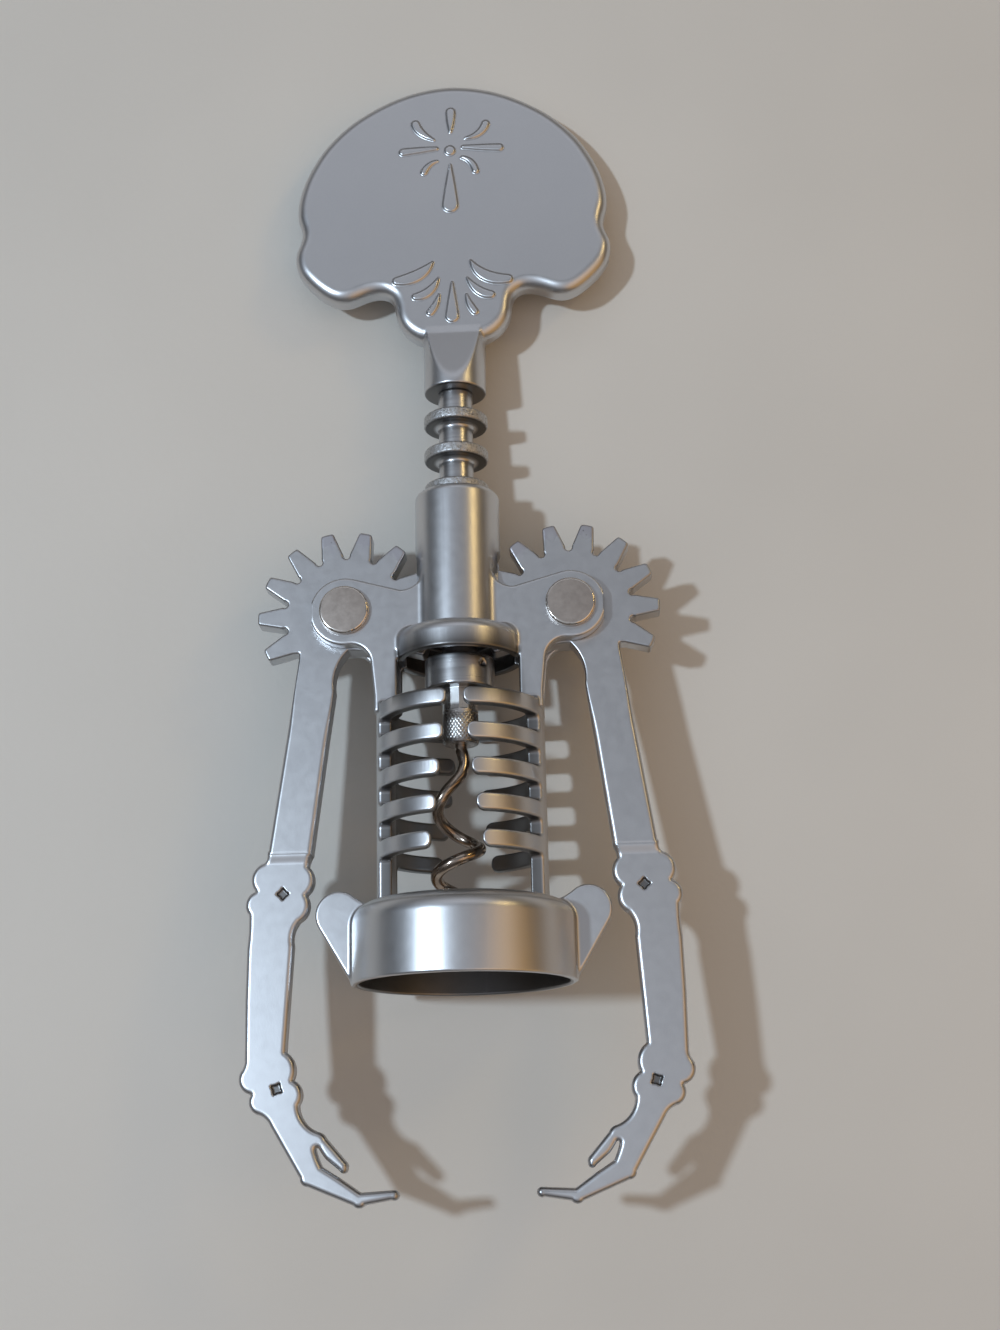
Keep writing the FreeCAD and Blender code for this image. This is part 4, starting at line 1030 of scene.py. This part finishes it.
pitch, roll, yaw = 0.287288, -0.035497, -0.042582
F0 = Vector((0, math.sin(pitch), -math.cos(pitch)))
U0 = Vector((0, math.cos(pitch), math.sin(pitch)))
R0 = Vector((1, 0, 0))
forward = F0 * math.cos(yaw) + R0 * math.sin(yaw)
right = R0 * math.cos(yaw) - F0 * math.sin(yaw)
right, up = right * math.cos(roll) + U0 * math.sin(roll), U0 * math.cos(roll) - right * math.sin(roll)
cam_data = bpy.data.cameras.new("camera")
cam_data.sensor_width = 36.0
cam_data.sensor_fit = "AUTO"
cam_data.lens = 1788.8 / 1330.0 * 36.0
cam_data.clip_start, cam_data.clip_end = 0.01, 10.0
camera = bpy.data.objects.new("camera", cam_data)
bpy.context.scene.collection.objects.link(camera)
m = Matrix.Identity(4)
for k, axis in enumerate((right, up, -forward)):
    for row in range(3):
        m[row][k] = axis[row]
m.translation = Vector((0.019031, -0.094573, 0.297385))
camera.matrix_world = m
bpy.context.scene.camera = camera


def area(name, where, target, size, watts, colour, size_y=None):
    data = bpy.data.lights.new(name, "AREA")
    data.shape = "RECTANGLE" if size_y else "DISK"
    data.size = size
    if size_y:
        data.size_y = size_y
    data.energy = watts
    data.color = colour
    ob = bpy.data.objects.new(name, data)
    bpy.context.scene.collection.objects.link(ob)
    ob.location = where
    ob.rotation_mode = "QUATERNION"
    ob.rotation_quaternion = (Vector(target) - Vector(where)).to_track_quat("-Z", "Y")
    return ob


area("key", (-0.48, -0.04, 0.82), (0, 0, 0.01), 0.06, 3.75, (0.70, 0.85, 1.0))
area("warm", (0.64, -0.35, 0.51), (0, 0, 0.01), 1.20, 1.6, (1.0, 0.50, 0.08))
area("lamp", (0.55, 0.325, 0.515), (0, 0.02, 0.02), 0.15, 0.39, (1.0, 0.70, 0.27))

world = bpy.data.worlds.new("studio")
bpy.context.scene.world = world
world.use_nodes = True
wt = world.node_tree
wt.nodes.clear()
wout = wt.nodes.new("ShaderNodeOutputWorld")
back = wt.nodes.new("ShaderNodeBackground")
wt.links.new(back.outputs[0], wout.inputs[0])
coord = wt.nodes.new("ShaderNodeTexCoord")
split = wt.nodes.new("ShaderNodeSeparateXYZ")
wt.links.new(coord.outputs["Generated"], split.inputs[0])
across = wt.nodes.new("ShaderNodeMapRange")
across.inputs["From Min"].default_value, across.inputs["From Max"].default_value = -0.9, 0.9
wt.links.new(split.outputs["X"], across.inputs["Value"])
low = wt.nodes.new("ShaderNodeMix")
low.data_type = "RGBA"
low.inputs[6].default_value = (0.083, 0.083, 0.087, 1)
low.inputs[7].default_value = (0.074, 0.064, 0.053, 1)
wt.links.new(across.outputs[0], low.inputs["Factor"])
rise = wt.nodes.new("ShaderNodeMapRange")
rise.interpolation_type = "SMOOTHSTEP"
rise.inputs["From Min"].default_value, rise.inputs["From Max"].default_value = 0.35, 0.80
wt.links.new(split.outputs["Z"], rise.inputs["Value"])
sky = wt.nodes.new("ShaderNodeMix")
sky.data_type = "RGBA"
sky.inputs[7].default_value = (0.385, 0.40, 0.435, 1)
wt.links.new(rise.outputs[0], sky.inputs["Factor"])
wt.links.new(low.outputs[2], sky.inputs[6])
# a darker strip overhead, towards the handle end
off = wt.nodes.new("ShaderNodeMath")
off.operation = "SUBTRACT"
off.inputs[1].default_value = 0.32
wt.links.new(split.outputs["Y"], off.inputs[0])
away = wt.nodes.new("ShaderNodeMath")
away.operation = "ABSOLUTE"
wt.links.new(off.outputs[0], away.inputs[0])
strip = wt.nodes.new("ShaderNodeMapRange")
strip.interpolation_type = "SMOOTHSTEP"
strip.inputs["From Min"].default_value, strip.inputs["From Max"].default_value = 0.05, 0.20
strip.inputs["To Min"].default_value, strip.inputs["To Max"].default_value = 0.34, 1.0
wt.links.new(away.outputs[0], strip.inputs["Value"])
# and a brighter ceiling past it
ahead = wt.nodes.new("ShaderNodeMapRange")
ahead.interpolation_type = "SMOOTHSTEP"
ahead.inputs["From Min"].default_value, ahead.inputs["From Max"].default_value = 0.40, 0.62
ahead.inputs["To Min"].default_value, ahead.inputs["To Max"].default_value = 1.0, 1.7
wt.links.new(split.outputs["Y"], ahead.inputs["Value"])
lift = wt.nodes.new("ShaderNodeMath")
lift.operation = "MULTIPLY"
wt.links.new(strip.outputs[0], lift.inputs[0])
wt.links.new(ahead.outputs[0], lift.inputs[1])
dim = wt.nodes.new("ShaderNodeMix")
dim.data_type = "RGBA"
dim.blend_type = "MULTIPLY"
dim.inputs["Factor"].default_value = 1.0
wt.links.new(sky.outputs[2], dim.inputs[6])
wt.links.new(lift.outputs[0], dim.inputs[7])
wt.links.new(dim.outputs[2], back.inputs["Color"])
back.inputs["Strength"].default_value = 1.0

view = bpy.context.scene.view_settings
view.view_transform = "Standard"
view.look = "None"
view.exposure = 0.0
view.gamma = 1.0
